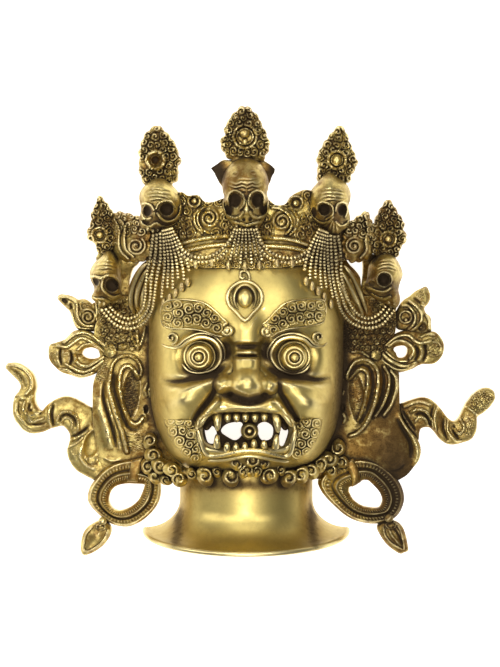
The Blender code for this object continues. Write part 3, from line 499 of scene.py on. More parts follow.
# Where painted shade lies in the hollows, under overhangs and down the sides of the face, neck and
# foot, with a few patches of brown film, as relief features whose height is their share; how far the
# mouth is sunk where its painted shade starts and is full, in mm, and where it ends, as a share of the
# mouth's size, and how softly; what is left of it low on the foot; and how crests are rubbed clean and
# given a painted highlight
stainsAndShade = {
    "features": [("mound", (225, 353), (7.0, 11.0), 0.85, 2.0),
        ("mound", (267.5, 353), (7.0, 11.0), 0.85, 2.0),
        ("ridge", [(178, 366), (188, 374), (202, 377), (214, 374), (224, 366)], 6.0, 0.8),
        ("ridge", [(316, 366), (306, 374), (292, 377), (280, 374), (269, 366)], 6.0, 0.8),
        ("ridge", [(218, 395), (226, 394), (236, 396), (248, 400), (260, 397), (268, 396), (274, 397)],
        6.5, 0.85),
        ("ridge", [(217, 374), (215, 384), (214, 392), (208, 402), (201, 411), (195, 421)], 4.5, 0.85),
        ("ridge", [(277, 375), (280, 384), (281, 393), (286, 402), (291, 411), (297, 421)], 4.5, 0.85),
        ("ridge", [(160, 379), (176, 381.5), (192, 379.5), (208, 374.5), (222, 368)], 4.0, 0.6),
        ("ridge", [(332, 377), (316, 380), (300, 377.5), (285, 374), (271, 368)], 4.0, 0.6),
        ("ridge", [(222, 399), (234, 401), (248, 403), (261, 401), (272, 399)], 5.5, 0.55),
        ("ridge", [(233, 345), (246, 347.5), (260, 345)], 3.0, 0.7),
        ("ridge", [(205, 464), (226, 463.5), (248, 460), (270, 463), (290, 465)], 5.0, 0.5),
        ("ridge", [(222, 338), (214, 336), (202, 333.5), (188, 334)], 4.0, 0.45),
        ("ridge", [(271, 338), (279, 336), (290, 333.5), (304, 334)], 4.0, 0.45),
        ("ridge", [(150, 300), (149, 340), (149, 380), (152, 420), (160, 458)], 11.0, 0.6),
        ("ridge", [(341, 300), (343, 340), (342, 380), (339, 420), (330, 458)], 11.0, 0.7),
        ("ridge", [(170, 490), (205, 486), (246, 485), (290, 486), (325, 490)], 10.0, 0.75),
        ("ridge", [(178, 496), (178, 530), (172, 556)], 10.0, 0.75),
        ("ridge", [(312, 496), (312, 530), (318, 556)], 10.0, 0.75),
        ("ridge", [(150, 572), (190, 588), (246, 594), (300, 588), (342, 572)], 12.0, 0.8),
        ("mound", (215, 171), (9.0, 12.0), 1.0, 4.0), ("mound", (277, 171), (8.0, 12.0), 1.0, 4.0),
        ("mound", (155.5, 160), (2.9, 2.9), 0.8, 4.0), ("mound", (158, 252), (15.0, 20.0), 0.5, 3.0),
        ("mound", (333, 252), (16.0, 20.0), 0.5, 3.0), ("mound", (246, 245), (13.0, 12.0), 0.5, 3.0),
        ("ridge", [(182, 257), (205, 252.5), (230, 251)], 3.0, 0.5),
        ("ridge", [(262, 252), (285, 253), (310, 258)], 3.0, 0.5),
        ("mound", (390, 440), (34.0, 90.0), 0.55, 2.0), ("mound", (131, 394), (6.0, 17.0), 0.5, 3.0),
        ("mound", (116, 430), (20.0, 50.0), 0.22, 2.0), ("mound", (400, 500), (26.0, 40.0), 0.35, 2.0)],
    "mouthSunk": (4.5, 9.0), "mouthEdge": (1.35, 0.3), "footLevel": 8.0, "footShare": 0.5,
    "crestWidth": 0.8, "crestRise": 1.1, "crest": -0.85,
}


def rubbedHighlightLines(features):
    # Along the crests of cords and ridges the metal is rubbed clean and given a painted highlight, which is
    # stain below nothing
    return [("ridge", feature[1], feature[2] * stainsAndShade["crestWidth"], stainsAndShade["crest"]) for feature in features
            if feature[0] in ("cord", "ridge") and feature[3] > stainsAndShade["crestRise"]]


def stainedAndShaded(mesh, strength=1.0, more=()):
    # Writes the share of stain and painted shade at each point of a mesh: the features, and painted shade on
    # the floor of the mouth
    points = np.empty(len(mesh.vertices) * 3)
    mesh.vertices.foreach_get("co", points)
    points = points.reshape(-1, 3) / toMetres
    flat = seenFrom(points)
    share = worked(flat, stainsAndShade["features"]) * strength + worked(flat, more)
    (low, high), (edge, softness) = stainsAndShade["mouthSunk"], stainsAndShade["mouthEdge"]
    # The floor of the mouth is darkened as painted shade, by how deep it is sunk
    sunk = domeHeight(points[:, 0], points[:, 1]) - points[:, 2]
    share = share + eased((sunk - low) / (high - low)) * eased((edge - mouthShare(flat)) / softness)
    share[points[:, 2] < stainsAndShade["footLevel"]] *= stainsAndShade["footShare"]
    layer = mesh.attributes.get("stain") or mesh.attributes.new("stain", "FLOAT", "POINT")
    layer.data.foreach_set("value", np.clip(share, -1, 1).astype(np.float32))


brassLook = {
    "bright": (0.98, 0.82, 0.42, 1.0),       # rubbed high places, and a painted highlight
    "body": (0.71, 0.555, 0.18, 1.0),        # the plain surface
    "tarnish": (0.27, 0.150, 0.038, 1.0),    # brown film in broad patches
    "dark": (0.052, 0.031, 0.012, 1.0),      # dirt and painted shade in the crevices
    "scales": (45.0, 260.0, 1500.0),         # of the broad, the middle and the fine noise
    # the levels between which each of these goes from none to all
    "film": (0.40, 0.64), "inset": (0.495, 0.455), "soakedAndShaded": (0.35, 1.05), "dirtAndShade": (0.18, 0.95),
    "rubbedHighlight": (0.505, 0.545), "speck": (0.52, 0.60), "roughness": (0.12, 0.9),
    "bumpHeight": 0.0003,                    # in m
}


def brassFinish(name, tarnish, roughness, pits, crevice, reach, grit):
    # Brass with brown film in broad patches, dirt and painted shade in the crevices from ambient occlusion
    # and pointiness, and rubbed crests with a painted highlight
    material = bpy.data.materials.new(name)
    material.use_nodes = True
    tree = material.node_tree
    surface = tree.nodes["Principled BSDF"]
    look = brassLook
    where = addNode(tree, "ShaderNodeTexCoord", {}, {}, "Object")
    shade = addNode(tree, "ShaderNodeAmbientOcclusion", {"samples": 6}, {"Distance": reach}, "AO")
    edges = addNode(tree, "ShaderNodeNewGeometry", {}, {}, "Pointiness")
    stain = addNode(tree, "ShaderNodeAttribute", {"attribute_name": "stain"}, {}, "Fac")
    broad = noise(tree, where, look["scales"][0], 4.0)
    middle = noise(tree, where, look["scales"][1], 4.0, 0.65)
    fine = noise(tree, where, look["scales"][2], 3.0, 0.6)
    # The stain attribute, mostly painted shade, also browns the film
    film = between(tree, broad * 0.55 + middle * 0.45, *look["film"]) * tarnish + stain * 0.9
    # Darkening from ambient occlusion: painted shade in the crevices
    hollow = 1 - between(tree, shade + (middle - 0.5) * 0.35 - stain * 0.22, *crevice)
    inset = between(tree, edges, *look["inset"])
    # The stain attribute as a mask: stain and painted shade
    soakedAndShaded = between(tree, stain + (middle - 0.5) * 0.6, *look["soakedAndShaded"])
    # Real dirt and painted shade together, darkening the colour
    dirtAndShade = between(tree, hollow + soakedAndShaded + inset * 0.5 + (fine - 0.5) * 0.35, *look["dirtAndShade"])
    # Convex crests made bright: partly wear, partly a painted highlight
    rubbedHighlight = between(tree, edges - stain * 0.024, *look["rubbedHighlight"]) * (1 - hollow)
    speck = between(tree, fine * 0.5 + middle * 0.5, *look["speck"]) * pits
    colour = mixedByName(tree, film, look["body"], look["tarnish"])
    colour = mixedByName(tree, rubbedHighlight * 0.75, colour, look["bright"])
    colour = mixedByName(tree, speck * 0.6, colour, look["tarnish"])
    colour = mixedByName(tree, dirtAndShade, colour, look["dark"])
    tree.links.new(colour.socket, surface.inputs["Base Color"])
    rough = roughness + film * 0.10 + (middle - 0.5) * 0.12 + dirtAndShade * 0.35 - rubbedHighlight * 0.08 + speck * 0.15
    rough = between(tree, rough, *look["roughness"], *look["roughness"])
    tree.links.new(rough.socket, surface.inputs["Roughness"])
    tree.links.new((1 - dirtAndShade * 0.45).socket, surface.inputs["Metallic"])
    height = middle * 0.45 + fine * 0.30 - speck * 0.5
    bump = addNode(tree, "ShaderNodeBump", {},
                   {"Height": height, "Distance": look["bumpHeight"], "Strength": grit}, "Normal")
    tree.links.new(bump.socket, surface.inputs["Normal"])
    return material


def built(name, shapes, material, smoothTurn=50, stain=1.0, moreStainAndShade=()):
    # Joins shapes worked out in mm into one piece, in metres
    verts, quads, tris, base = [], [], [], 0
    for shape in shapes:
        verts.append(shape[0])
        quads.append(shape[1] + base)
        tris.append(shape[2] + base)
        base += len(shape[0])
    verts, quads, tris = np.vstack(verts) * toMetres, np.vstack(quads), np.vstack(tris)
    mesh = bpy.data.meshes.new(name)
    mesh.vertices.add(len(verts))
    mesh.vertices.foreach_set("co", verts.ravel())
    corners = np.concatenate([quads.ravel(), tris.ravel()])
    sizes = np.concatenate([np.full(len(quads), 4), np.full(len(tris), 3)])
    mesh.loops.add(len(corners))
    mesh.loops.foreach_set("vertex_index", corners.astype(np.int32))
    mesh.polygons.add(len(sizes))
    mesh.polygons.foreach_set("loop_start", np.concatenate([[0], np.cumsum(sizes)[:-1]]).astype(np.int32))
    mesh.polygons.foreach_set("loop_total", sizes.astype(np.int32))
    mesh.update(calc_edges=True)
    mesh.validate()
    piece = bpy.data.objects.new(name, mesh)
    scene.collection.objects.link(piece)
    mesh.materials.append(material)
    mesh.shade_smooth()
    mesh.set_sharp_from_angle(angle=math.radians(smoothTurn))
    # Writes the stain and painted shade that the finish reads
    stainedAndShaded(mesh, stain, moreStainAndShade)
    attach(piece, "root")
    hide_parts("deity_mask")
    print(name, "made of", len(quads) * 2 + len(tris), "triangles")
    return piece


# Tarnish, roughness, pits, how open a place may be and still take full dirt and painted shade and how open
# it must be to take none, reach in m, and grit
finishes = {
    "polished": (0.16, 0.41, 0.15, (0.34, 0.84), 0.0040, 0.25),
    "carved": (1.10, 0.34, 0.6, (0.30, 0.84), 0.0024, 0.6),
    "skull": (1.00, 0.38, 0.6, (0.40, 0.90), 0.0065, 0.35),
    "worn": (0.95, 0.36, 1.0, (0.34, 0.90), 0.0034, 0.9),
    "browned": (1.4, 0.40, 1.0, (0.38, 0.94), 0.0036, 0.9),
}
polished, carved, bony, worn, browned = (brassFinish(name + "Brass", *values)
                                         for name, values in finishes.items())


# The head: dome, face relief and the hollow behind it

head = {
    "middle": (-1.9, 2.5),
    "halfWidth": 66.5,
    "halfHeight": 97.0,
    "depth": 80.0,
    "wall": 4.0,
    "browShare": 0.81,        # how far up the dome reaches, as a share of the half height
    "jawRoundness": 3.2,
    "browRoundness": 2.4,
    "flatness": 3.0,
    "jawFlatness": 5.5,
    "domeRoundness": 2.2,
    "around": 400,
    "frontShare": 0.93,       # how far out the face's rings go before the sides'
    "frontRings": 112,
    "sideRings": 16,
    "innerRings": 18,
}


def domeShare(across, along):
    # 1 on the outline, from a superellipse whose roundness differs above and below, and how flat it is there
    limit = np.where(along > 0, head["browShare"], 1.0)
    power = np.where(along > 0, head["browRoundness"], head["jawRoundness"])
    share = (np.abs(across) ** power + np.abs(along / limit) ** power) ** (1 / power)
    out = np.maximum(np.hypot(across * head["halfWidth"], along * head["halfHeight"]), 1e-9)
    down = np.clip(-along * head["halfHeight"] / out, 0, 1)
    return share, head["flatness"] + (head["jawFlatness"] - head["flatness"]) * down ** 2


def domeHeight(across, along):
    # Height of the plain dome over a place in mm
    share, flatness = domeShare((across - head["middle"][0]) / head["halfWidth"],
                                (along - head["middle"][1]) / head["halfHeight"])
    rise = np.clip(1 - np.minimum(share, 1.0) ** flatness, 0, 1)
    return head["depth"] * rise ** (1 / head["domeRoundness"])


def domeRows(shares, inset):
    # Rows of points round the dome, one for each share of the way out, with the dome set in by the inset
    angle = 2 * math.pi * (np.arange(head["around"]) + 0.5) / head["around"]
    across, along = np.cos(angle), np.sin(angle)
    reach, flatness = domeShare(across, along)
    across, along = across / reach, along / reach
    shares = np.asarray(shares)[:, None]
    high = (head["depth"] - inset) * np.clip(1 - shares ** flatness, 0, 1) ** (1 / head["domeRoundness"])
    return np.stack([head["middle"][0] + across * shares * (head["halfWidth"] - inset),
                     head["middle"][1] + along * shares * (head["halfHeight"] - inset), high], -1)


face = {
    "eyes": [(201, 356), (292.5, 356.5)], "socketDepth": 9.5,
    "mouth": (246, 431), "mouthSize": (30.5, 12.6), "mouthDepth": 12.0, "mouthRoundness": 3.2,
    "bridge": [(246.5, 359), (246.5, 364), (246.5, 370), (246.5, 378), (247, 387), (248, 400)],
    "bridgeWidth": [18.5, 18.5, 18.0, 19.5, 22.0, 22.0],
    "bridgeRise": [13.0, 14.0, 15.0, 16.0, 16.0, 14.0],
    "noseLobes": [((247, 383), (20.5, 16.0), 18.0), ((227, 385), (14.0, 11.0), 11.5),
                  ((266, 386.5), (13.0, 10.5), 10.5)],
    "noseEdge": [(215, 392), (219, 389.5), (224, 386), (231, 385.5), (239, 389.5), (249, 393.5),
                 (259, 391.5), (265, 388), (272, 390), (277, 393)],
    "noseUnder": 6.5, "noseRim": 0.8,
    "frown": (246, 335), "frownSize": (12.5, 7.5), "frownRise": 5.8,
    "pouchBelow": 7, "pouchWidth": 5.5, "pouchRise": 1.8,
    "lipLine": [(198, 430), (202, 420), (211, 413), (225, 409.5), (246, 408), (267, 409.5), (281, 413),
                (289, 420), (292, 430), (289, 443), (284, 450), (268, 452), (247, 450.5), (225, 452),
                (207, 451), (201, 444)],
    "lipWidth": 5.0, "lipRise": 2.4,
}

faceMounds = {
    # places, size, rise and power
    "sockets": (face["eyes"], (15.5, 14.0), -face["socketDepth"], 4.0),
    "cheeks": ([(181, 401), (312, 405)], (16.0, 12.5), 7.0, 2.0),
    "jowls": ([(177, 452), (313, 452)], (11.0, 9.0), 4.0, 2.0),
    "chin": ([(247, 472)], (17.0, 9.0), 4.0, 3.0),
    "innerCorners": ([(227.5, 349), (264.5, 349)], (4.2, 7.0), -7.0, 3.0),
    "nostrils": ([(231, 394), (264, 394)], (2.6, 1.4), -2.5, 3.0),
    "noseRoot": ([(248, 352.5)], (7.0, 2.4), 6.0, 3.0),
}

faceRidges = {
    # lines, width, rise and taper
    "cheekMass": ([[(166, 405), (184, 397), (201, 387), (217, 376)],
                   [(328, 408), (310, 401), (293, 390), (277, 377)]], 12.0, 4.2, 0.3),
    "underEye": ([[(160, 379), (172, 382), (186, 381), (201, 377), (215, 373), (224, 368), (232, 361)],
                  [(332, 377), (318, 380), (303, 378), (287, 376), (274, 373), (265, 367), (259, 361)]],
                 4.0, -4.4, 0.25),
    "cheekCrease": ([[(168, 396), (180, 389), (193, 383), (205, 381)],
                     [(327, 396), (316, 388), (303, 383), (291, 381)]], 1.8, -0.7, 0.25),
    "upperFold": ([[(220, 398), (213, 405), (206, 413), (200, 421), (198, 431)],
                   [(273, 398), (280, 405), (286, 413), (291, 421), (294, 431)]], 3.6, 3.8, 0.2),
    "foldShade": ([[(216, 388), (209, 400), (201, 410), (195, 419), (193, 430)],
                   [(278, 389), (285, 400), (291, 410), (297, 420), (299, 431)]], 2.8, -4.0, 0.2),
    "lipPlane": ([[(212, 411), (219, 402.5), (232, 403.5), (248, 406), (262, 404), (272, 402.5),
                   (281, 409)]], 6.0, 3.0, 0.12),
}


def mouthShare(flat, margin=0.0):
    # 1 on the edge of the mouth's opening, a superellipse
    power = face["mouthRoundness"]
    offset = np.abs((flat - seenAt(face["mouth"])) / (np.array(face["mouthSize"]) + margin))
    return (offset[..., 0] ** power + offset[..., 1] ** power) ** (1 / power)


def eased(value):
    value = np.clip(value, 0, 1)
    return value * value * (3 - 2 * value)


def bossRise(flat, centre, size, height, power=2.4):
    # A round boss whose sides stand steep, its size in pixels
    across, along = ovalOffset(flat, centre)
    reach = np.hypot(across / size[0], along / size[1]) / pixelSize
    return height * np.clip(1 - reach ** power, 0, 1) ** 0.8


def noseRise(flat):
    # Bridge, tip and wings run together as the root of their squares; below the tip's
    # lower edge the nose falls in a straight slope
    line = seenAt(face["bridge"])
    width, rise, middle = (np.interp(-flat[..., 1], -line[:, 1], values)
                           for values in (face["bridgeWidth"], face["bridgeRise"], line[:, 0]))
    across = np.abs(flat[..., 0] - middle) / (width / 2)
    over = eased((flat[..., 1] - line[0, 1]) / 2.2)
    bridge = rise * np.clip(1 - across ** 3.2, 0, 1) ** 0.6 * (1 - over)
    total = bridge ** 2 + sum(bossRise(flat, *lobe) ** 2 for lobe in face["noseLobes"])
    edge = seenAt(face["noseEdge"])
    below = np.interp(flat[..., 0], edge[:, 0], edge[:, 1]) - flat[..., 1]
    fall = 1 - np.clip(below / face["noseUnder"], 0, 1)
    rim = face["noseRim"] * np.exp(-(below / 0.9) ** 2) * (total > 8 ** 2)
    return total ** 0.5 * fall ** 0.85 + rim


def faceRelief(flat):
    # All that the face rises and sinks from the dome, in mm
    rise = noseRise(flat)
    for places, size, height, power in faceMounds.values():
        for place in places:
            rise += mound(flat, place, size, height, power)
    for lines, width, height, taper in faceRidges.values():
        for line in lines:
            rise += ridge(flat, line, width, height, taper=taper)
    for line in faceRidges["underEye"][0]:
        pouch = [(x, y + face["pouchBelow"]) for x, y in line]
        rise += ridge(flat, pouch, face["pouchWidth"], face["pouchRise"])
    offset = (flat - seenAt(face["frown"])) / np.array(face["frownSize"])
    hang = np.exp(-1.6 * np.abs(offset[..., 0]) ** 2.6) * eased((offset[..., 1] + 1.0) * 2.2)
    rise += face["frownRise"] * hang * eased((3.4 - offset[..., 1]) / 3.0)
    rise += ridge(flat, face["lipLine"], face["lipWidth"], face["lipRise"], closed=True, count=60)
    return rise - eased((1.10 - mouthShare(flat)) / 0.20) * face["mouthDepth"]


def faceHeight(across, along):
    # The finished face's height over a place in mm, for what sits on it
    base = domeHeight(across, along)
    return base + faceRelief(seenFrom(np.stack([across, along, base], -1)))


def headShape():
    # The face's rings close up towards the sides, where the dome stands steep; then the hollow's rings
    front = np.linspace(0, head["frontShare"], head["frontRings"] + 1)[1:]
    edge = (1 - head["frontShare"] ** head["flatness"]) ** (1 / head["domeRoundness"])
    side = 1 - (edge * np.linspace(1, 0, head["sideRings"] + 1)[1:]) ** head["domeRoundness"]
    outer = domeRows(np.concatenate([front, side ** (1 / head["flatness"])]), 0.0)
    outer[..., 2] += faceRelief(seenFrom(outer)) * eased(outer[..., 2] / 12.0)
    inner = domeRows(np.sin(np.linspace(math.pi / 2, 0.02, head["innerRings"])) ** 0.8, head["wall"])
    flat = seenFrom(inner)
    sunk = eased((1.16 - mouthShare(flat, 4.0)) / 0.30) * (face["mouthDepth"] + 1.5)
    for eye in face["eyes"]:
        sunk += mound(flat, eye, (20.0, 18.0), face["socketDepth"], 4.0)
    inner[..., 2] = np.maximum(inner[..., 2] - sunk * eased(inner[..., 2] / 20.0), 0.0)
    middle = np.array([*head["middle"], 0.0])
    top = middle + (0, 0, faceHeight(middle[:1], middle[1:2])[0])
    return closedShape(np.vstack([outer, inner]), poles=(top, inner[-1].mean(0)))


mouthHoles = {
    "outlines": [
        [(205, 427), (210, 425), (216, 430), (216, 442), (209, 443), (206, 437)],
        [(221, 431), (227, 424), (240, 422), (243, 426), (243, 433), (236, 440), (228, 437)],
        [(258, 425), (265, 422), (272, 426), (273, 433), (270, 439), (262, 440), (258, 433)],
        [(281, 422), (286, 427), (288, 432), (284, 444), (281, 446), (278, 441), (280, 433)]],
    "reach": (30.0, 100.0),
    "throat": (41.0, -70.0, -101.0),     # radius of the way down into the neck, and where it starts and ends
}


def pierced(piece, outlines, reach):
    # Holes from front to back, each the run of its outline along the camera's line of sight, and a
    # round way from the head's hollow down into the neck
    tunnels = []
    for outline in outlines:
        line = seenAt(smoothPath(outline, 28, True))
        tunnels.append(closedShape(np.stack([raised(line, level) for level in reach])))
    radius, start, end = mouthHoles["throat"]
    turn = 2 * math.pi * (np.arange(72) + 0.5) / 72
    ring = np.stack([head["middle"][0] + radius * np.cos(turn), 0 * turn, radius * np.sin(turn)], -1)
    tunnels.append(closedShape(np.stack([ring + (0, place, 0) for place in (start, end)])))
    cutter = built("mouthTunnels", tunnels, carved)
    cut = piece.modifiers.new("holes", "BOOLEAN")
    cut.object = cutter
    cut.solver = "MANIFOLD"
    found = piece.evaluated_get(bpy.context.evaluated_depsgraph_get())
    mesh = bpy.data.meshes.new_from_object(found)
    piece.modifiers.clear()
    piece.data = mesh
    stainedAndShaded(mesh)
    mesh.shade_smooth()
    mesh.set_sharp_from_angle(angle=math.radians(60))
    bpy.data.objects.remove(cutter)
    print("mouth pierced,", len(mesh.polygons), "faces")


headPiece = built("head", [headShape()], polished, 60)
pierced(headPiece, mouthHoles["outlines"], mouthHoles["reach"])


# The neck and its flared foot

neck = {
    "radius": 45.0, "footRadius": 68.5, "wall": 4.0, "rim": 3.6,
    "top": -86.0, "straightEnd": -112.0, "footEnd": -131.5, "lean": 0.12,
    "steps": 40, "around": 130,
}


def neckShape():
    # Half a turned bell: straight, then a quarter of an oval out to the rim. Its foot leans forward
    middleX, middleY = head["middle"]
    angle = np.linspace(0, math.pi / 2, neck["steps"])
    flare = neck["footRadius"] - neck["radius"]
    fall = neck["straightEnd"] - neck["footEnd"]
    outer = [(neck["radius"], place) for place in np.arange(neck["top"], neck["straightEnd"], -1.0)]
    outer += [(neck["radius"] + flare * (1 - math.cos(turn)), neck["straightEnd"] - fall * math.sin(turn))
              for turn in angle]
    tip, half = outer[-1], neck["rim"] * 0.5
    outer += [(tip[0] + half * math.sin(turn), tip[1] - half * (1 - math.cos(turn)))
              for turn in np.linspace(0, math.pi, 9)[1:]]
    outer = smoothPath(outer, 72)
    slope = np.gradient(outer, axis=0)
    slope /= np.linalg.norm(slope, axis=1, keepdims=True)
    inner = outer + np.stack([slope[:, 1], -slope[:, 0]], 1) * neck["wall"]
    inner[:, 0] = np.minimum(inner[:, 0], outer[:, 0])
    inner[-14:] = np.linspace(inner[-14], outer[-1] + (-0.4, 0.1), 14)
    profile = np.vstack([outer, inner[::-1]])
    turn = np.linspace(0, math.pi, neck["around"])[:, None]
    across, high = profile[:, 0] * np.cos(turn), profile[:, 0] * np.sin(turn)
    along = profile[:, 1] - neck["lean"] * high
    points = np.stack([middleX + across, middleY + along, np.maximum(high, 0.0)], -1)
    return closedShape(points, strip=True)


built("neck", [neckShape()], polished)


# The eyes, the third eye and the brows

def curledPatch(edges, curls, style):
    # A plate of curls laid on the face between two edges, and the paths of the edges
    rows = style["rows"]
    first, second = (smoothPath(onSurface(edge, faceHeight, style["lift"]), rows) for edge in edges)
    across = np.linspace(0, 1, style["columns"])
    top = first[:, None] + (second - first)[:, None] * across[None, :, None]
    top[..., 2] = faceHeight(top[..., 0], top[..., 1])
    domed = np.clip(1 - np.abs(2 * across - 1) ** 3, 0, 1) ** (1 / 3)
    domed = domed[None] * roundEnds(rows, style["ends"], style["ends"])[:, None]
    relief = style["rise"] + curlField(seenFrom(top), curls, *style["curl"])
    top[..., 2] += relief * domed - style["sunk"]
    under = top[:, ::-style["underStep"]][:, 1:-1] - (0, 0, style["thickness"])
    return closedShape(np.concatenate([top, under], 1)), (first, second)


def curledEnd(centre, radius, hand, style):
    # A cord laid on the face in a spiral, with a ball in its middle
    line = scroll(centre, radius, style["turns"], hand, style["start"])
    path = onSurface(line, faceHeight, style["lift"])
    count, ball = style["count"], path[-1] + (0, 0, style["ballLift"])
    width = np.linspace(*style["widths"], count)
    return [sweep(smoothPath(path, count), width, style["height"], ends=style["ends"]),
            ballShape(ball, style["ball"], around=style["around"], rings=style["rings"])]


eyes = {
    "centres": [(201, 356, 66.0), (292.5, 356.5, 66.0)],
    "rings": [(0.0, 13.6), (1.3, 13.4), (2.2, 12.6), (2.7, 11.3), (3.1, 11.2), (3.7, 12.2), (4.4, 12.0),
        (5.0, 10.6), (5.4, 10.4), (6.2, 10.9), (7.3, 10.2), (8.3, 8.6), (8.7, 6.9), (9.2, 6.7),
        (9.9, 7.0), (10.6, 5.9), (11.2, 3.6), (11.6, 0.5), (11.2, -5.0), (8.0, -7.0), (0.0, -7.5)],
    "swing": 0.10, "nod": 0.05,
    "lids": [[(165, 345, 71), (172, 348, 73), (181, 347, 75.5), (189, 341, 77), (200, 337, 77.5),
        (211, 339, 77.5), (218, 345, 77), (221, 354, 75.5), (219, 363, 74), (212, 370, 73),
        (200, 373, 72.5), (189, 371, 72), (182, 364, 71)], [(324, 344, 70), (318, 347, 72),
        (311, 346, 75), (304, 340, 77), (293, 337, 77.5), (282, 339, 77.5), (275, 345, 77),
        (271, 354, 75.5), (274, 363, 74), (281, 370, 73), (293, 374, 72.5), (304, 371, 72),
        (310, 364, 71)]],
    "lidWidth": 2.7, "lidHeight": 1.9, "creaseOut": 2.3, "lidPlaces": [0, 0.1, 0.3, 0.6, 1],
    "lidTaper": [0.5, 0.85, 1.15, 1.0, 0.6],
    "lidCurls": [((172, 338), 6.6, 1), ((318.5, 337), 6.6, -1)],
    "curlStyle": {"turns": 1.25, "start": -math.pi / 2, "lift": 0.6, "count": 60, "widths": (1.7, 1.4),
        "height": 2.6, "ends": (0.03, 0.1), "ball": (1.8, 1.8, 2.2), "ballLift": 0.3, "around": 16,
        "rings": 9},
}


def eyeShapes():
    shapes = []
    profile = smoothPath(eyes["rings"], 110)
    for centre, side in zip(eyes["centres"], (-1, 1)):
        shapes.append(turnedShape(profile, spots(centre), (side * eyes["swing"], eyes["nod"]), 72))
    width = eyes["lidWidth"]
    taper = np.interp(np.linspace(0, 1, 110), eyes["lidPlaces"], eyes["lidTaper"])
    for lid in eyes["lids"]:
        path = smoothPath(spots(lid), 110)
        shapes.append(sweep(path, width * taper, width * eyes["lidHeight"] * taper, ends=(0.05, 0.05)))
        second = path[:80] + (0, 0, -1.0)
        outward = second[:, :2] - path[20:, :2].mean(0)
        second[:, :2] += outward / np.linalg.norm(outward, axis=1, keepdims=True) * eyes["creaseOut"]
        shapes.append(sweep(second, width * 0.75, width * 1.4, ends=(0.1, 0.1)))
    for curl in eyes["lidCurls"]:
        shapes += curledEnd(*curl, eyes["curlStyle"])
    return shapes


thirdEye = {
    "frame": [(245, 281.5), (253, 283.5), (259.5, 289.5), (262, 297.5), (259.5, 306), (253, 313),
        (245, 320.5), (237, 313), (230, 306), (227.5, 297.5), (230, 289.5), (237, 283.5)],
    "boss": (245, 298.5), "bossSize": (16.5, 21.0),
    "hook": [(248.5, 283), (249.5, 276), (246, 271), (241, 272), (240.5, 277), (243, 278.5), (245, 276)],
    "profile": [(0.0, 5.4), (0.25, 5.2), (0.46, 4.2), (0.57, 2.4), (0.62, 1.0), (0.70, 1.0), (0.78, 2.6),
        (0.86, 2.6), (0.94, 1.2), (1.0, -1.0), (0.0, -1.5)],
    "frameCord": (2.8, 4.0), "hookCord": 1.8,
}


def thirdEyeShapes():
    path = onSurface(thirdEye["frame"], faceHeight, 0.6)
    place = onSurface([thirdEye["boss"]], faceHeight, -0.5)[0]
    hook = onSurface(thirdEye["hook"], faceHeight, 1.0)
    oval = [side / 2 for side in thirdEye["bossSize"]]
    return [sweep(smoothPath(path, 120, True), *thirdEye["frameCord"], loop=True),
            turnedShape(smoothPath(thirdEye["profile"], 50), place, around=56, oval=oval),
            sweep(smoothPath(hook, 50), thirdEye["hookCord"], ends=(0.05, 0.15))]


brows = {
    "upper": [[(160, 313), (163, 304.5), (171, 300), (190, 300), (204, 303), (215, 311), (223, 319),
        (229, 323.5)], [(326, 314), (325, 303), (319, 299.5), (300, 300), (286, 303), (276, 311),
        (268, 320), (262, 324.5)]],
    "lower": [[(161, 318), (163.5, 325), (172, 328.5), (190, 329), (203, 331), (213, 334.5), (219, 336),
        (224, 337)], [(325, 318), (322, 323), (314, 325), (300, 327.5), (288, 329), (279, 332),
        (272, 336), (268, 338)]],
    "rimCord": (1.5, 3.0),
    "ends": [((228, 330), 7.2, 1), ((266, 331), 7.0, -1)],
    "curls": [[(168, 306), (177, 304), (168, 317), (179, 313), (189, 309), (199, 308), (188, 320),
        (178, 323), (197, 319), (207, 313), (206, 323), (215, 318), (217, 328), (166, 326)], [(320, 305),
        (311, 306), (319, 316), (309, 316), (301, 306), (292, 308), (300, 318), (291, 319), (310, 322),
        (283, 312), (283, 324), (275, 319), (274, 330)]],
    "patch": {"lift": 0.4, "rows": 170, "columns": 76, "underStep": 12, "ends": 0.08, "rise": 3.2,
        "sunk": 0.3, "thickness": 5.0, "curl": (5.0, 2.35, 2.8)},
    "curlStyle": {"turns": 1.3, "start": math.pi / 2, "lift": 1.6, "count": 70, "widths": (2.6, 2.2),
        "height": 3.4, "ends": (0.05, 0.1), "ball": (5.0, 5.0, 4.4), "ballLift": 0.0, "around": 20,
        "rings": 11},
}


def browShapes():
    shapes = []
    for upper, lower, curls in zip(brows["upper"], brows["lower"], brows["curls"]):
        patch, edges = curledPatch((upper, lower), curls, brows["patch"])
        shapes += [sweep(edge, *brows["rimCord"], ends=(0.05, 0.05)) for edge in edges] + [patch]
    for curl in brows["ends"]:
        shapes += curledEnd(*curl, brows["curlStyle"])
    return shapes


built("eyes", eyeShapes(), polished)
built("thirdEye", thirdEyeShapes(), polished)
built("brows", browShapes(), polished)


# The mouth: lips, teeth, fangs and tongue

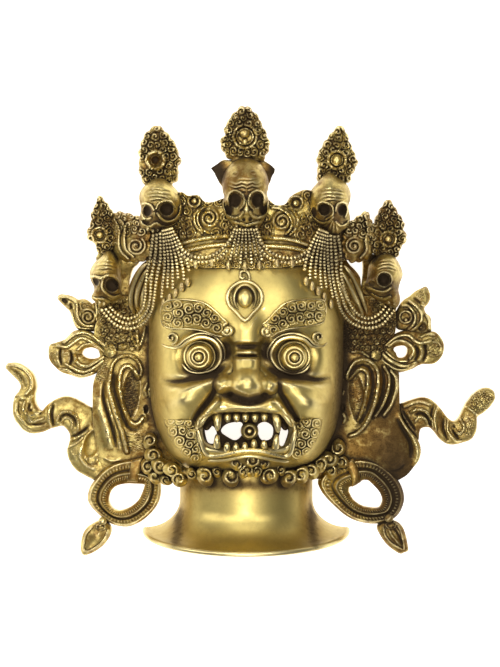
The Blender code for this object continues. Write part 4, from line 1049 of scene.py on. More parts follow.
# A lip holds its knots, width, height and lift; a tooth how far its root and its tip are below its
# place, in pixels, then its width and its height over the level; a fang the same without a tip
mouth = {
    "lips": [([(198, 428), (202, 420), (208, 412.5), (216, 407.5), (226, 406.3), (238, 407.6),
        (248, 408.5), (260, 407.6), (271, 406.5), (280, 409.8), (287, 417), (293, 427)], 4.6, 4.2, 0.5),
        ([(197, 428), (201, 439), (204, 449), (210, 455.3), (222, 455), (236, 451.8), (249, 450.3),
        (262, 451.3), (275, 454.3), (285, 456), (291, 451), (293, 441), (296, 429)], 3.4, 4.0, 0.6),
        ([(208, 460.5), (224, 460), (240, 457), (250, 456), (262, 457.3), (276, 460), (289, 461.5)], 2.6,
        2.8, -0.1)],
    "upperTeeth": [(227.5, 418), (236.5, 418), (245.5, 417.5), (255, 418), (264.5, 417.5)],
    "upperTooth": (-4.5, 4.0, 6.2, 3.0), "lowerTooth": (4.5, -3.5, 5.8, 1.5),
    "lowerTeeth": [(227, 446), (236, 446.5), (245, 446), (254, 443), (264, 443.5)],
    "upperFangs": [((217, 415), (217.5, 431)), ((276, 414), (278.5, 433))],
    "lowerFangs": [((217, 447), (217, 434)), ((275.5, 448), (277, 434))],
    "upperFang": (-3, 6.8, 4.5, 2.0), "lowerFang": (0, 5.4, 3.0, 1.5), "tongue": (249.5, 431, 68.5),
    "tongueSize": 11.5,
    "tongueProfile": [(0, 0.8), (0.18, 0.75), (0.32, 0.35), (0.45, 0.4), (0.6, 0.75), (0.75, 0.7),
        (0.93, 0.3), (1.0, -0.4), (0.8, -1.2), (0, -1.3)],
    "gum": [(0, 417, -5), (-18, 418, -5), (-32, 421, -4), (-41, 430, -4)],
    "gumCord": (3.5, 4.0), "level": 69.5, "lipRubAndHighlight": (3.0, -0.7),
}


def toothShape(root, tip, width, level, lift=1.5):
    # A tapering cone from its root to its tip, bowed up in the middle
    middle = ((root[0] + tip[0]) / 2, (root[1] + tip[1]) / 2, level + lift)
    path = smoothPath(spots([(*root, level - 2), middle, (*tip, level)]), 24)
    taper = np.sqrt(np.linspace(1, 0.12, 24)) * width
    return sweep(path, taper, taper, ends=(0.1, 0.12))


def mouthShapes():
    shapes = []
    for line, width, height, lift in mouth["lips"]:
        path = onSurface(line, domeHeight, lift + 1.0)
        shapes.append(sweep(smoothPath(path, 150), width, height, ends=(0.08, 0.08)))
    level = mouth["level"]
    for row in ("upper", "lower"):
        rootBelow, tipBelow, width, rise = mouth[row + "Tooth"]
        for x, y in mouth[row + "Teeth"]:
            shapes.append(toothShape((x, y + rootBelow), (x, y + tipBelow), width, level + rise))
    for row in ("upper", "lower"):
        rootBelow, width, rise, lift = mouth[row + "Fang"]
        for root, tip in mouth[row + "Fangs"]:
            shapes.append(toothShape((root[0], root[1] + rootBelow), tip, width, level + rise, lift))
    profile = smoothPath(np.array(mouth["tongueProfile"]) * mouth["tongueSize"] / 2, 44)
    shapes.append(turnedShape(profile, spots(mouth["tongue"]), around=36))
    for side in (1, -1):
        line = [(face["mouth"][0] + side * x, y, level + z) for x, y, z in mouth["gum"]]
        shapes.append(sweep(smoothPath(spots(line), 40), *mouth["gumCord"]))
    return shapes


# Along the lips the stain is taken away: rubbed clean and given a painted highlight
lipRubAndHighlight = [("ridge", lip[0], *mouth["lipRubAndHighlight"]) for lip in mouth["lips"]]
built("mouth", mouthShapes(), polished, moreStainAndShade=lipRubAndHighlight)


# Curls of the moustache and the beard

# A disc holds its pixel, its radius in pixels and its height in mm
beard = {
    "patches": [([(163, 419), (166, 430), (171, 440), (178, 450), (187, 458), (196, 464)], [(196, 420),
        (196, 428), (197, 437), (199, 445), (202, 452), (206, 458)]), ([(323, 418), (321, 430),
        (317, 440), (311, 449), (303, 456), (293, 462)], [(293, 420), (297, 428), (297, 437), (295, 445),
        (292, 452), (287, 458)])],
    "curls": [[(170, 421), (180, 419), (189, 423), (173, 431), (183, 430), (191, 434), (180, 441),
        (190, 444), (187, 452), (196, 449), (196, 458)], [(317, 423), (306, 421), (299, 426), (315, 433),
        (305, 434), (312, 443), (301, 444), (306, 452), (297, 453)]],
    "patch": {"lift": 0.0, "rows": 120, "columns": 58, "underStep": 8, "ends": 0.12, "rise": 1.5,
        "sunk": 0.3, "thickness": 5.0, "curl": (5.0, 2.3, 2.8)},
    "discShare": 1.18, "uneven": (0.13, 0.06), "spiral": (0.82, 0.23, 0.28), "turns": 1.45,
    "spiralRise": 2.6, "middleRise": 2.0,
    "discs": [(150, 441, 6.5, 30), (153, 455, 7.0, 30), (160, 466, 7.5, 32), (148, 467, 6.5, 26),
        (155, 476, 6.5, 26), (172, 470, 7.0, 40), (179, 479, 7.0, 40), (192, 474, 5.0, 48),
        (205, 476, 8.0, 51), (217, 472, 4.5, 54), (231, 476, 8.5, 56), (243, 472, 5.0, 62),
        (270, 475, 8.0, 55), (281, 470, 4.5, 53), (289, 478, 7.5, 50), (301, 475, 7.5, 46),
        (311, 471, 7.0, 40), (320, 464, 7.0, 34), (329, 459, 7.5, 30), (338, 448, 7.0, 28),
        (331, 471, 6.0, 26), (236, 463, 6.5, 63), (252, 460.5, 7.0, 66), (264, 463, 5.5, 62),
        (248, 470, 6.0, 62), (257, 471, 5.0, 60), (166, 480, 5.0, 32), (341, 462, 6.0, 24)],
}


def curlDisc(x, y, radius, level, hand):
    # A round lock of hair: a domed disc with a spiral worked into it, its outline a little uneven
    angle = np.linspace(0, 2 * math.pi, 13)[:-1]
    radius = radius * beard["discShare"]
    two, three = beard["uneven"]
    out = radius * (1 + two * np.sin(angle * 2 + x) + three * np.sin(angle * 3 + y))
    outline = np.stack([x + out * np.cos(angle), y - out * np.sin(angle)], 1)
    reach, cord, middle = (radius * share for share in beard["spiral"])
    features = [("spiral", (x, y), reach, beard["turns"], hand, x * 0.9, cord, beard["spiralRise"]),
                ("dome", (x, y), (middle, middle), beard["middleRise"])]
    return medallion(outline, (x, y), level - 3.5, 4.0, features, rings=15, around=44, power=2.2, under=9.0)


def beardShapes():
    patches = zip(beard["patches"], beard["curls"])
    shapes = [curledPatch(edges, curls, beard["patch"])[0] for edges, curls in patches]
    return shapes + [curlDisc(*disc, 1 if number % 2 else -1) for number, disc in enumerate(beard["discs"])]


built("beard", beardShapes(), polished)


# The crown: its band, the cross bar, the finials and the five skulls

crown = {
    "middle": -1.9, "reach": 95.0, "height": 76.8, "roundness": 0.475, "ends": 0.13,
    "band": [(146, 208, 146, 262, 50), (165, 200, 165, 264, 50), (180, 192, 182, 265, 50),
        (188, 195.5, 190, 266, 50), (198, 195, 199, 267, 50), (204, 201, 205, 268, 50),
        (212, 202, 213, 268, 50), (221, 199, 222, 268, 50), (232, 196, 232, 268, 50),
        (246, 196, 246, 269, 50), (258, 196, 258, 269, 50), (269, 200, 269, 268, 50),
        (276, 205, 276, 268, 50), (285, 204, 285, 267, 50), (290, 197, 292, 266, 50),
        (299, 191.5, 302, 265, 50), (309, 190, 312, 264, 50), (328, 198, 328, 262, 50),
        (349, 210, 347, 260, 50)],
    "features": [("curls", scattered(150, 194, 350, 237, 9.2, [(194, 201, 9), (207, 218, 17),
        (284, 221, 17), (296, 203, 10), (246, 205, 20)]), 5.0, 2.0, 2.6),
        ("circle", (194, 201), 5.8, 1.9, 2.4), ("dome", (194, 201), (3, 3), 2.4),
        ("cord", [(201, 198), (205, 202), (203, 207), (197, 211), (194, 217), (196, 226), (202, 233)],
        2.0, 2.6),
        ("cord", [(206, 206), (199, 212), (197.5, 219), (200, 227), (206, 232), (213, 233)], 1.8, 2.4),
        ("spiral", (209, 218), 9.4, 2.1, -1, 1.4, 2.0, 2.8), ("dome", (209, 218), (2.4, 2.4), 2.0),
        ("spiral", (282, 221), 9.4, 2.1, 1, 1.4, 2.0, 2.8), ("dome", (282, 221), (2.6, 2.6), 2.0),
        ("cord", [(272, 208), (279, 208.5), (287, 213), (291.5, 220), (291, 228), (286, 234)], 1.9, 2.5),
        ("cord", [(289, 208), (295, 213), (297.5, 220), (296, 228), (290, 235)], 1.8, 2.4),
        ("circle", (296, 203), 6.6, 1.9, 2.4), ("dome", (296, 203), (3.6, 3.6), 2.6),
        ("cord", [(178, 245), (190, 241), (203, 238.5), (215, 237), (228, 236)], 3.2, 2.8),
        ("cord", [(180, 252), (191, 249.5), (205, 246.5), (218, 245), (230, 244.5)], 3.4, 3.0),
        ("cord", [(263, 237.5), (275, 238), (287, 239), (298, 241.5), (308, 245)], 3.2, 2.8),
        ("cord", [(264, 246), (277, 246.5), (290, 247.5), (302, 250), (311, 253)], 3.4, 3.0),
        ("curls", scattered(150, 242, 178, 262, 7.0), 3.8, 1.6, 1.6),
        ("curls", scattered(312, 242, 350, 262, 7.0), 3.8, 1.6, 1.6),
        ("curls", scattered(182, 258, 316, 268, 7.5), 3.6, 1.6, 1.4)],
    "bar": [(211, 168, 214, 172, 70), (217, 164, 217, 178, 71), (223, 160, 222, 186, 72),
        (230, 160, 230, 190, 73), (246, 158, 246, 190, 74), (262, 160, 262, 190, 73),
        (268, 163, 269, 184, 72), (272, 166, 272, 176, 71), (275, 169, 274.5, 172, 70)],
}


def crownHeight(across, along):
    # An arch over the band, highest in the middle and the same all along
    share = np.abs((across - crown["middle"]) / crown["reach"])
    return crown["height"] * np.clip(1 - share ** 2, crown["ends"], 1) ** crown["roundness"]


finials = [
    {"outline": [(245, 106), (250, 107.5), (254, 112), (259, 117), (261, 123), (265, 130), (268, 138),
         (270, 144), (268, 151), (265, 157), (262, 161), (256, 162), (246, 162), (236, 162), (230, 159),
         (225, 154), (222, 149), (220, 142), (222, 137.5), (225, 134), (224, 128), (228, 122), (230, 117),
         (236, 111), (240, 107)],
     "peak": (245, 134), "low": 76.0,
     "features": [("curls", scattered(224, 110, 268, 158, 8.0, [(245, 136.5, 12.5)]), 4.4, 2.3, 3.0),
         ("circle", (245, 136.5), 11.4, 2.2, 2.4), ("circle", (245, 136.5), 8.0, 1.4, 1.5),
         ("dome", (244.5, 132.5), (5.6, 5.6), 3.4), ("dome", (245, 141.5), (3.2, 3.2), 2.2),
         ("circle", (247, 112), 3.6, 1.0, 1.0)]},
    {"outline": [(157, 125), (162, 128), (168, 134), (172, 138.5), (174, 142), (177, 147), (178, 153),
         (180.5, 158), (180, 163), (177.5, 168), (178.5, 174), (176, 181), (168, 185), (156, 186),
         (146, 186), (142, 180), (140, 174), (138.5, 168), (139.5, 161), (138.5, 154), (140, 147),
         (142, 140), (145, 134), (150, 129)],
     "peak": (157, 158), "low": 60.0,
     "features": [("curls", scattered(142, 130, 178, 182, 8.0, [(155.5, 160, 11)]), 4.4, 2.3, 3.0),
         ("circle", (155.5, 160), 8.2, 3.4, 4.6), ("socket", (155.5, 160), (4.4, 4.4), 3.4),
         ("cord", [(149, 136), (152, 139)], 1.0, 1.0)]},
    {"outline": [(340, 125), (345, 130), (348, 136), (350, 143), (353, 149), (355, 155), (357.5, 161),
         (356, 168), (352, 174), (349, 182), (340, 184), (330, 184), (320, 183), (317, 176), (318, 169),
         (317.5, 163), (317, 157), (320, 150), (323, 144), (328, 137), (334, 130)],
     "peak": (337, 158), "low": 60.0,
     "features": [("curls", scattered(320, 130, 355, 181, 8.0, [(337, 160, 11)]), 4.4, 2.3, 3.0),
         ("circle", (337, 160), 8.8, 2.4, 2.6), ("dome", (337, 160), (5.0, 6.0), 3.2),
         ("circle", (337, 160), 5.8, 1.2, 1.2)]},
    {"outline": [(99, 195), (104, 200), (109, 206), (113, 213), (117, 221), (119, 230), (118, 240),
         (114, 248), (108, 253), (99, 253), (96, 248), (95, 243), (90, 241), (87, 236), (88, 229),
         (91, 222), (91, 214), (95, 205)],
     "peak": (102, 232), "low": 30.0,
     "features": [("curls", scattered(90, 200, 119, 253, 7.4, [(99.5, 235, 9.5)]), 4.4, 2.3, 3.0),
         ("circle", (99.5, 235), 7.4, 2.2, 2.4), ("dome", (99.5, 235), (4.0, 4.0), 2.6)]},
    {"outline": [(116, 212), (124, 212.5), (132, 214.5), (140, 217), (147, 219), (151, 228), (150, 240),
         (151, 252), (147, 258), (139, 262), (130, 262), (122, 260), (115, 256), (112, 248), (113, 238),
         (112, 228), (111, 219)],
     "peak": (132, 240), "low": 28.0,
     "features": [("curls", scattered(118, 217, 150, 236, 7.4), 4.4, 2.3, 2.8),
         ("cord", [(114, 220), (119, 230), (118, 242), (121, 252), (128, 259)], 2.2, 2.6),
         ("cord", [(119, 218), (125, 228), (124, 240), (126, 250), (133, 257)], 2.0, 2.4),
         ("spiral", (136, 246), 9.6, 2.1, -1, 1.0, 2.0, 2.8), ("dome", (136, 246), (2.6, 2.6), 2.0)]},
    {"outline": [(388, 199), (393, 204), (399, 214), (404, 222), (404, 230), (407, 237), (404, 244),
         (400, 249), (399, 255), (393, 257), (384, 257), (376, 255), (371, 248), (369, 239), (370, 230),
         (374, 222), (378, 213), (382, 206)],
     "peak": (388, 234), "low": 30.0,
     "features": [("curls", scattered(370, 205, 407, 257, 7.4, [(388.5, 239, 9.5)]), 4.4, 2.3, 3.0),
         ("circle", (388.5, 239), 7.4, 2.2, 2.4), ("dome", (388.5, 239), (4.0, 4.0), 2.6)]},
    {"outline": [(367, 211), (370, 217), (373, 226), (374, 238), (373, 250), (369, 258), (362, 261),
         (352, 262), (346, 258), (342, 248), (343, 236), (346, 226), (354, 219), (361, 214)],
     "peak": (358, 240), "low": 28.0,
     "features": [("curls", scattered(347, 219, 372, 236, 7.0), 4.4, 2.3, 2.8),
         ("cord", [(365, 216), (368, 228), (366, 240), (367, 250), (361, 258)], 2.2, 2.6),
         ("spiral", (354, 246), 8.8, 2.1, 1, 1.0, 2.0, 2.8), ("dome", (354, 246), (2.4, 2.4), 2.0)]},
]

finialPlate = {
    "depth": 3.5, "rings": 52, "around": 160, "power": 7.0, "under": 6.5, "scallops": 17, "scallop": 1.7}
finialOnCrown = 40.0    # a finial lower than this takes its height from the crown's arch

crownTie = {
    # The forehead under the band, which joins it to the head: its ends, front and back in mm, how
    # far its top stays under the band's face, how far it is sunk in the head, and its most height
    "ends": (-62.0, 58.0), "front": 47.0, "back": 54.0,
    "under": 3.0, "sunk": 3.0, "tallest": 26.0,
}


def crownTieShape():
    across = np.linspace(*crownTie["ends"], 60)
    rows = []
    for along, isTop in (("front", True), ("back", True), ("back", False), ("front", False)):
        place = np.full(60, crownTie[along])
        top = crownHeight(across, place) - crownTie["under"]
        foot = np.maximum(domeHeight(across, place) - crownTie["sunk"], top - crownTie["tallest"])
        rows.append(np.stack([across, place, top if isTop else np.minimum(foot, top - 1.0)], -1))
    return closedShape(np.stack(rows, 1))


def crownShapes():
    return [pillow(crown["band"], 0.4, under=4.0, features=crown["features"], columns=88, rows=340,
                   power=8.0, surface=lambda across, along: crownHeight(across, along) - 1.5),
            pillow(crown["bar"], 1.5, under=5.0, columns=20, rows=60, power=5.0, ends=(0.05, 0.05)),
            crownTieShape()]


def finialShapes():
    shapes = []
    for finial in finials:
        surface = crownHeight if finial["low"] < finialOnCrown else None
        shapes.append(medallion(finial["outline"], finial["peak"], finial["low"],
                                features=finial["features"], surface=surface, **finialPlate))
    return shapes


skulls = [
    {"outline": [(246, 157), (253, 158.5), (260, 163), (265, 170), (268, 178), (268.5, 187), (267, 194),
         (269, 201), (269, 209), (266, 216), (263, 222), (259, 228), (253, 232), (246, 233), (240, 232),
         (234, 228), (230, 222), (226, 217), (223, 210), (222, 203), (224, 197), (222.5, 190), (222, 181),
         (224, 174), (229, 166), (237, 159.5)],
     "peak": (246.5, 188), "low": 76.0, "depth": 22.0, "under": 5.0,
     "features": [("socket", (235.5, 200), (6.2, 7.2), 6.8), ("socket", (257, 200), (5.9, 7.2), 6.8),
         ("cord", [(229, 206), (227.5, 199), (229.5, 193.5), (235, 190.5), (241, 193), (244.5, 199),
         (243.5, 205), (239.5, 209.5)], 1.5, 3.0),
         ("cord", [(263.5, 206), (264.5, 198), (262.5, 193), (257.5, 190.5), (251.5, 193), (248.5, 199),
         (249.5, 205), (253.5, 209.5)], 1.5, 3.0),
         ("ridge", [(246.5, 199), (246.5, 208), (246.5, 214)], 5.0, 3.4),
         ("mound", (247, 214.5), (3.4, 4.2), 3.2), ("socket", (244, 219), (1.8, 2.4), 2.2),
         ("socket", (250, 219), (1.8, 2.4), 2.2), ("socket", (229.5, 209.5), (4.5, 6.4), 5.1),
         ("socket", (263, 209.5), (4.2, 6.2), 5.1),
         ("cord", [(222.5, 203), (223.5, 210), (228, 215.5), (234, 218), (240, 216.5), (243, 212)], 2.0,
         3.6), ("cord", [(268.5, 203), (268, 210), (264, 215.5), (258.5, 218), (253, 216.5), (250, 212)],
         2.0, 3.6), ("cord", [(229, 222), (236, 222.5), (242, 224), (247, 226), (252, 224), (258, 222.5),
         (264, 221)], 2.25, 1.89),
         ("ridge", [(228, 183), (236, 185.5), (242, 183.5), (247, 185.5), (252, 183.5), (257, 185),
         (263, 182)], 0.9, -0.9),
         ("ridge", [(228, 187), (236, 189), (242, 187.2), (247, 189), (252, 187.2), (257, 188.5),
         (263, 186.5)], 0.9, -0.9),
         ("ridge", [(237, 180.5), (243, 180), (250, 180.5), (258, 179.5)], 0.8, -0.6),
         ("ridge", [(240, 193), (247, 192), (253, 193)], 0.8, -0.8),
         ("socket", (235, 174), (2.4, 1.4), 0.8), ("socket", (253, 172.5), (2.0, 1.0), 0.6)],
     "teeth": [(237, 227), (241.5, 229), (246.5, 230), (251.5, 229), (256, 227)]},
    {"outline": [(155, 178), (163, 178), (170, 183), (176, 189), (180, 194), (183, 200), (183.5, 207),
         (182.5, 213), (181, 219), (177, 224), (170, 228), (163, 230), (157, 233), (151, 231), (146, 229),
         (141, 227), (139, 221), (140, 215), (141, 208), (139.5, 202), (139, 196), (141, 190), (146, 184)],
     "peak": (161, 203), "low": 62.0, "depth": 21.0, "under": 3.0,
     "features": [("socket", (147.5, 211), (4.5, 5.5), 5.95), ("socket", (166.5, 209), (6.9, 6.6), 6.8),
         ("cord", [(141, 205), (146, 203.5), (151, 205.5), (154, 210)], 1.7, 3.0),
         ("cord", [(141, 212), (143, 217.5), (147, 219.5), (151, 218)], 1.5, 1.89),
         ("cord", [(156, 209), (159, 203.5), (165, 201), (171, 202), (175, 207)], 1.7, 3.0),
         ("cord", [(157.5, 213), (162, 219), (168, 221.5), (175, 219.5), (180, 213), (181, 206)], 2.0,
         3.4), ("cord", [(140, 221), (145, 226), (151, 226.5), (156, 223), (162, 226), (170, 227),
         (177, 223)], 1.88, 2.17), ("socket", (146, 222), (4.0, 2.6), 2.4),
         ("mound", (154, 215), (2.6, 4.0), 2.4),
         ("ridge", [(148, 191), (156, 189.5), (164, 190.5), (170, 192)], 0.9, -0.9),
         ("ridge", [(147, 194.5), (155, 193), (163, 194), (171, 196)], 0.9, -0.9),
         ("ridge", [(147, 198), (155, 196.5), (163, 197.5), (170, 199.5)], 0.9, -0.9),
         ("ridge", [(150, 201.5), (157, 200), (163, 200)], 0.8, -0.8)],
     "teeth": [(148, 229), (153, 231), (158, 230), (163, 229)]},
    {"outline": [(328, 172), (333, 172.5), (338, 177), (344, 181), (348, 186), (350.5, 192), (350.5, 199),
         (348.5, 206), (349.5, 213), (350, 220), (347, 227), (342, 231), (337, 235), (331, 235),
         (326, 229), (320, 226), (315, 222), (311, 216), (308.5, 209), (308, 202), (309, 195), (312, 189),
         (317, 183), (322, 176)],
     "peak": (330, 202), "low": 62.0, "depth": 21.0, "under": 3.0,
     "features": [("socket", (324.5, 209.5), (5.9, 5.9), 6.8), ("socket", (342, 210), (4.5, 5.7), 5.95),
         ("cord", [(317, 210), (318, 204.5), (323, 202.3), (329, 203.8), (333, 208), (332, 215),
         (326, 219.5)], 1.7, 3.0),
         ("cord", [(335.5, 211), (337, 205), (342, 202.5), (347, 205), (348, 211), (345.5, 217)], 1.7,
         3.0),
         ("cord", [(309, 209), (312, 216), (317, 221), (323, 223), (329, 221), (333, 217)], 1.75, 2.32),
         ("socket", (314.5, 212), (2.9, 5.4), 3.06),
         ("cord", [(350, 220), (345, 225), (340, 226), (336, 222)], 1.75, 2.03),
         ("mound", (334, 217), (2.8, 4.0), 2.6), ("socket", (345, 222), (3.0, 2.4), 2.0),
         ("ridge", [(333, 220), (328, 232)], 1, 1.3), ("ridge", [(334, 221), (333, 234)], 1, 1.3),
         ("ridge", [(335, 220), (338, 233)], 1, 1.3), ("ridge", [(332, 220), (323, 228)], 1, 1.3),
         ("ridge", [(320, 192), (328, 190), (337, 191), (345, 193)], 0.9, -0.9),
         ("ridge", [(320, 195.5), (328, 193.5), (337, 194.5), (346, 196)], 0.9, -0.9),
         ("ridge", [(320, 199), (328, 197), (337, 198), (346, 199.5)], 0.9, -0.9),
         ("ridge", [(325, 201.8), (332, 200.5), (338, 201.5)], 0.8, -0.8)],
     "teeth": []},
    {"outline": [(107, 250), (113, 252), (118, 258), (120.5, 266), (120.5, 274), (121, 282), (120.5, 289),
         (122, 295), (118, 300), (110, 303), (103, 306), (97, 303), (92, 299), (91.5, 296), (94, 291),
         (93.5, 286), (91, 281), (89.5, 275), (91, 268), (95, 262), (101, 257)],
     "peak": (105, 272), "low": 29.0, "depth": 21.0, "under": 4.0,
     "features": [("socket", (112, 285), (6.8, 6.8), 6.0), ("socket", (96, 281), (2.9, 4.4), 3.4, 0.5),
         ("cord", [(89.5, 276), (96, 277), (102, 278), (108, 275.5), (114, 276.5), (118, 281),
         (119, 287)], 2.38, 3.19),
         ("cord", [(103, 280), (102, 287), (106, 293), (113, 297), (121, 295.5)], 2, 3.19),
         ("cord", [(92, 298), (97, 299), (103, 299), (110, 302)], 2, 2.32),
         ("mound", (97, 291), (3.0, 4.0), 2.4),
         ("ridge", [(92, 264), (100, 262), (108, 262), (116, 264)], 0.9, -0.9),
         ("ridge", [(91, 267.5), (100, 266), (108, 265.5), (117, 268)], 0.9, -0.9),
         ("ridge", [(91, 271), (100, 270), (109, 269), (117, 272)], 0.9, -0.9)],
     "teeth": [(100, 303), (104, 304)]},
    {"outline": [(388, 253), (394, 256), (399, 263), (402, 270), (402.5, 276), (400, 283), (398.5, 290),
         (400, 297), (399.5, 303), (396, 308), (390, 306), (384, 303), (377, 300), (371, 296), (366, 291),
         (364, 286), (367, 280), (368, 273), (369, 265), (373, 259), (380, 254)],
     "peak": (385, 273), "low": 29.0, "depth": 21.0, "under": 4.0,
     "features": [("socket", (384, 279.5), (5.7, 6.2), 6.8), ("circle", (384.3, 279.5), 7.6, 1.3, 1.7),
         ("cord", [(364, 287), (371, 289), (378, 291.5), (385, 291.5), (391, 287.5)], 2, 2.61),
         ("cord", [(371, 294), (377, 297.5), (384, 299), (390, 296.5)], 2, 2.32),
         ("mound", (396, 294), (2.4, 4.4), 2.6), ("socket", (372, 283.5), (3.4, 2.9), 2.21),
         ("ridge", [(377, 263), (384, 261), (391, 262), (398, 266)], 0.9, -0.9),
         ("ridge", [(376, 266.5), (384, 264.5), (391, 265.5), (399, 269)], 0.9, -0.9),
         ("ridge", [(376, 270), (384, 268), (391, 269), (399, 272)], 0.9, -0.9)],
     "teeth": [(394, 303), (389, 302)]},
]

skullTooth = (-4, 2, 2.8, 0.8, 0.42)    # root and tip below a tooth's place, width, lift, share of the depth


def skullShapes():
    shapes = []
    rootBelow, tipBelow, width, lift, share = skullTooth
    for skull in skulls:
        low, depth = skull["low"], skull["depth"]
        shapes.append(medallion(skull["outline"], skull["peak"], low, depth, skull["features"],
                                rings=58, around=128, power=2.1, under=skull["under"], crown=1.9))
        for x, y in skull["teeth"]:
            level = low + depth * share
            shapes.append(toothShape((x, y + rootBelow), (x, y + tipBelow), width, level, lift))
    return shapes


skullDarkening = {
    "deepest": 2.5,         # a socket deeper than this gets painted shade inside, over this share of its size
    "socketShare": 0.9, "socketShade": 0.35,
    "jawBelow": 14, "jawSize": (14.0, 10.0), "jawDarkening": 0.5,
}


def skullShadeAndWear():
    # Painted shade in the sockets, a darker patch over the jaws, and the crests rubbed clean with a painted
    # highlight
    features = [feature for skull in skulls for feature in skull["features"]]
    jaws = [(skull["peak"][0], skull["peak"][1] + skullDarkening["jawBelow"]) for skull in skulls]
    film = [("mound", feature[1], np.array(feature[2]) * pixelSize * skullDarkening["socketShare"],
             skullDarkening["socketShade"], 4.0)
            for feature in features if feature[0] == "socket" and feature[3] > skullDarkening["deepest"]]
    film += [("mound", jaw, skullDarkening["jawSize"], skullDarkening["jawDarkening"], 4.0) for jaw in jaws]
    return film + rubbedHighlightLines(features)


built("crown", crownShapes(), carved, moreStainAndShade=rubbedHighlightLines(crown["features"]))
built("finials", finialShapes(), carved)
built("skulls", skullShapes(), bony, moreStainAndShade=skullShadeAndWear())


# The two sides: grounds with the ears and folds, leaf scrolls, ribbon loops, scarves and earrings

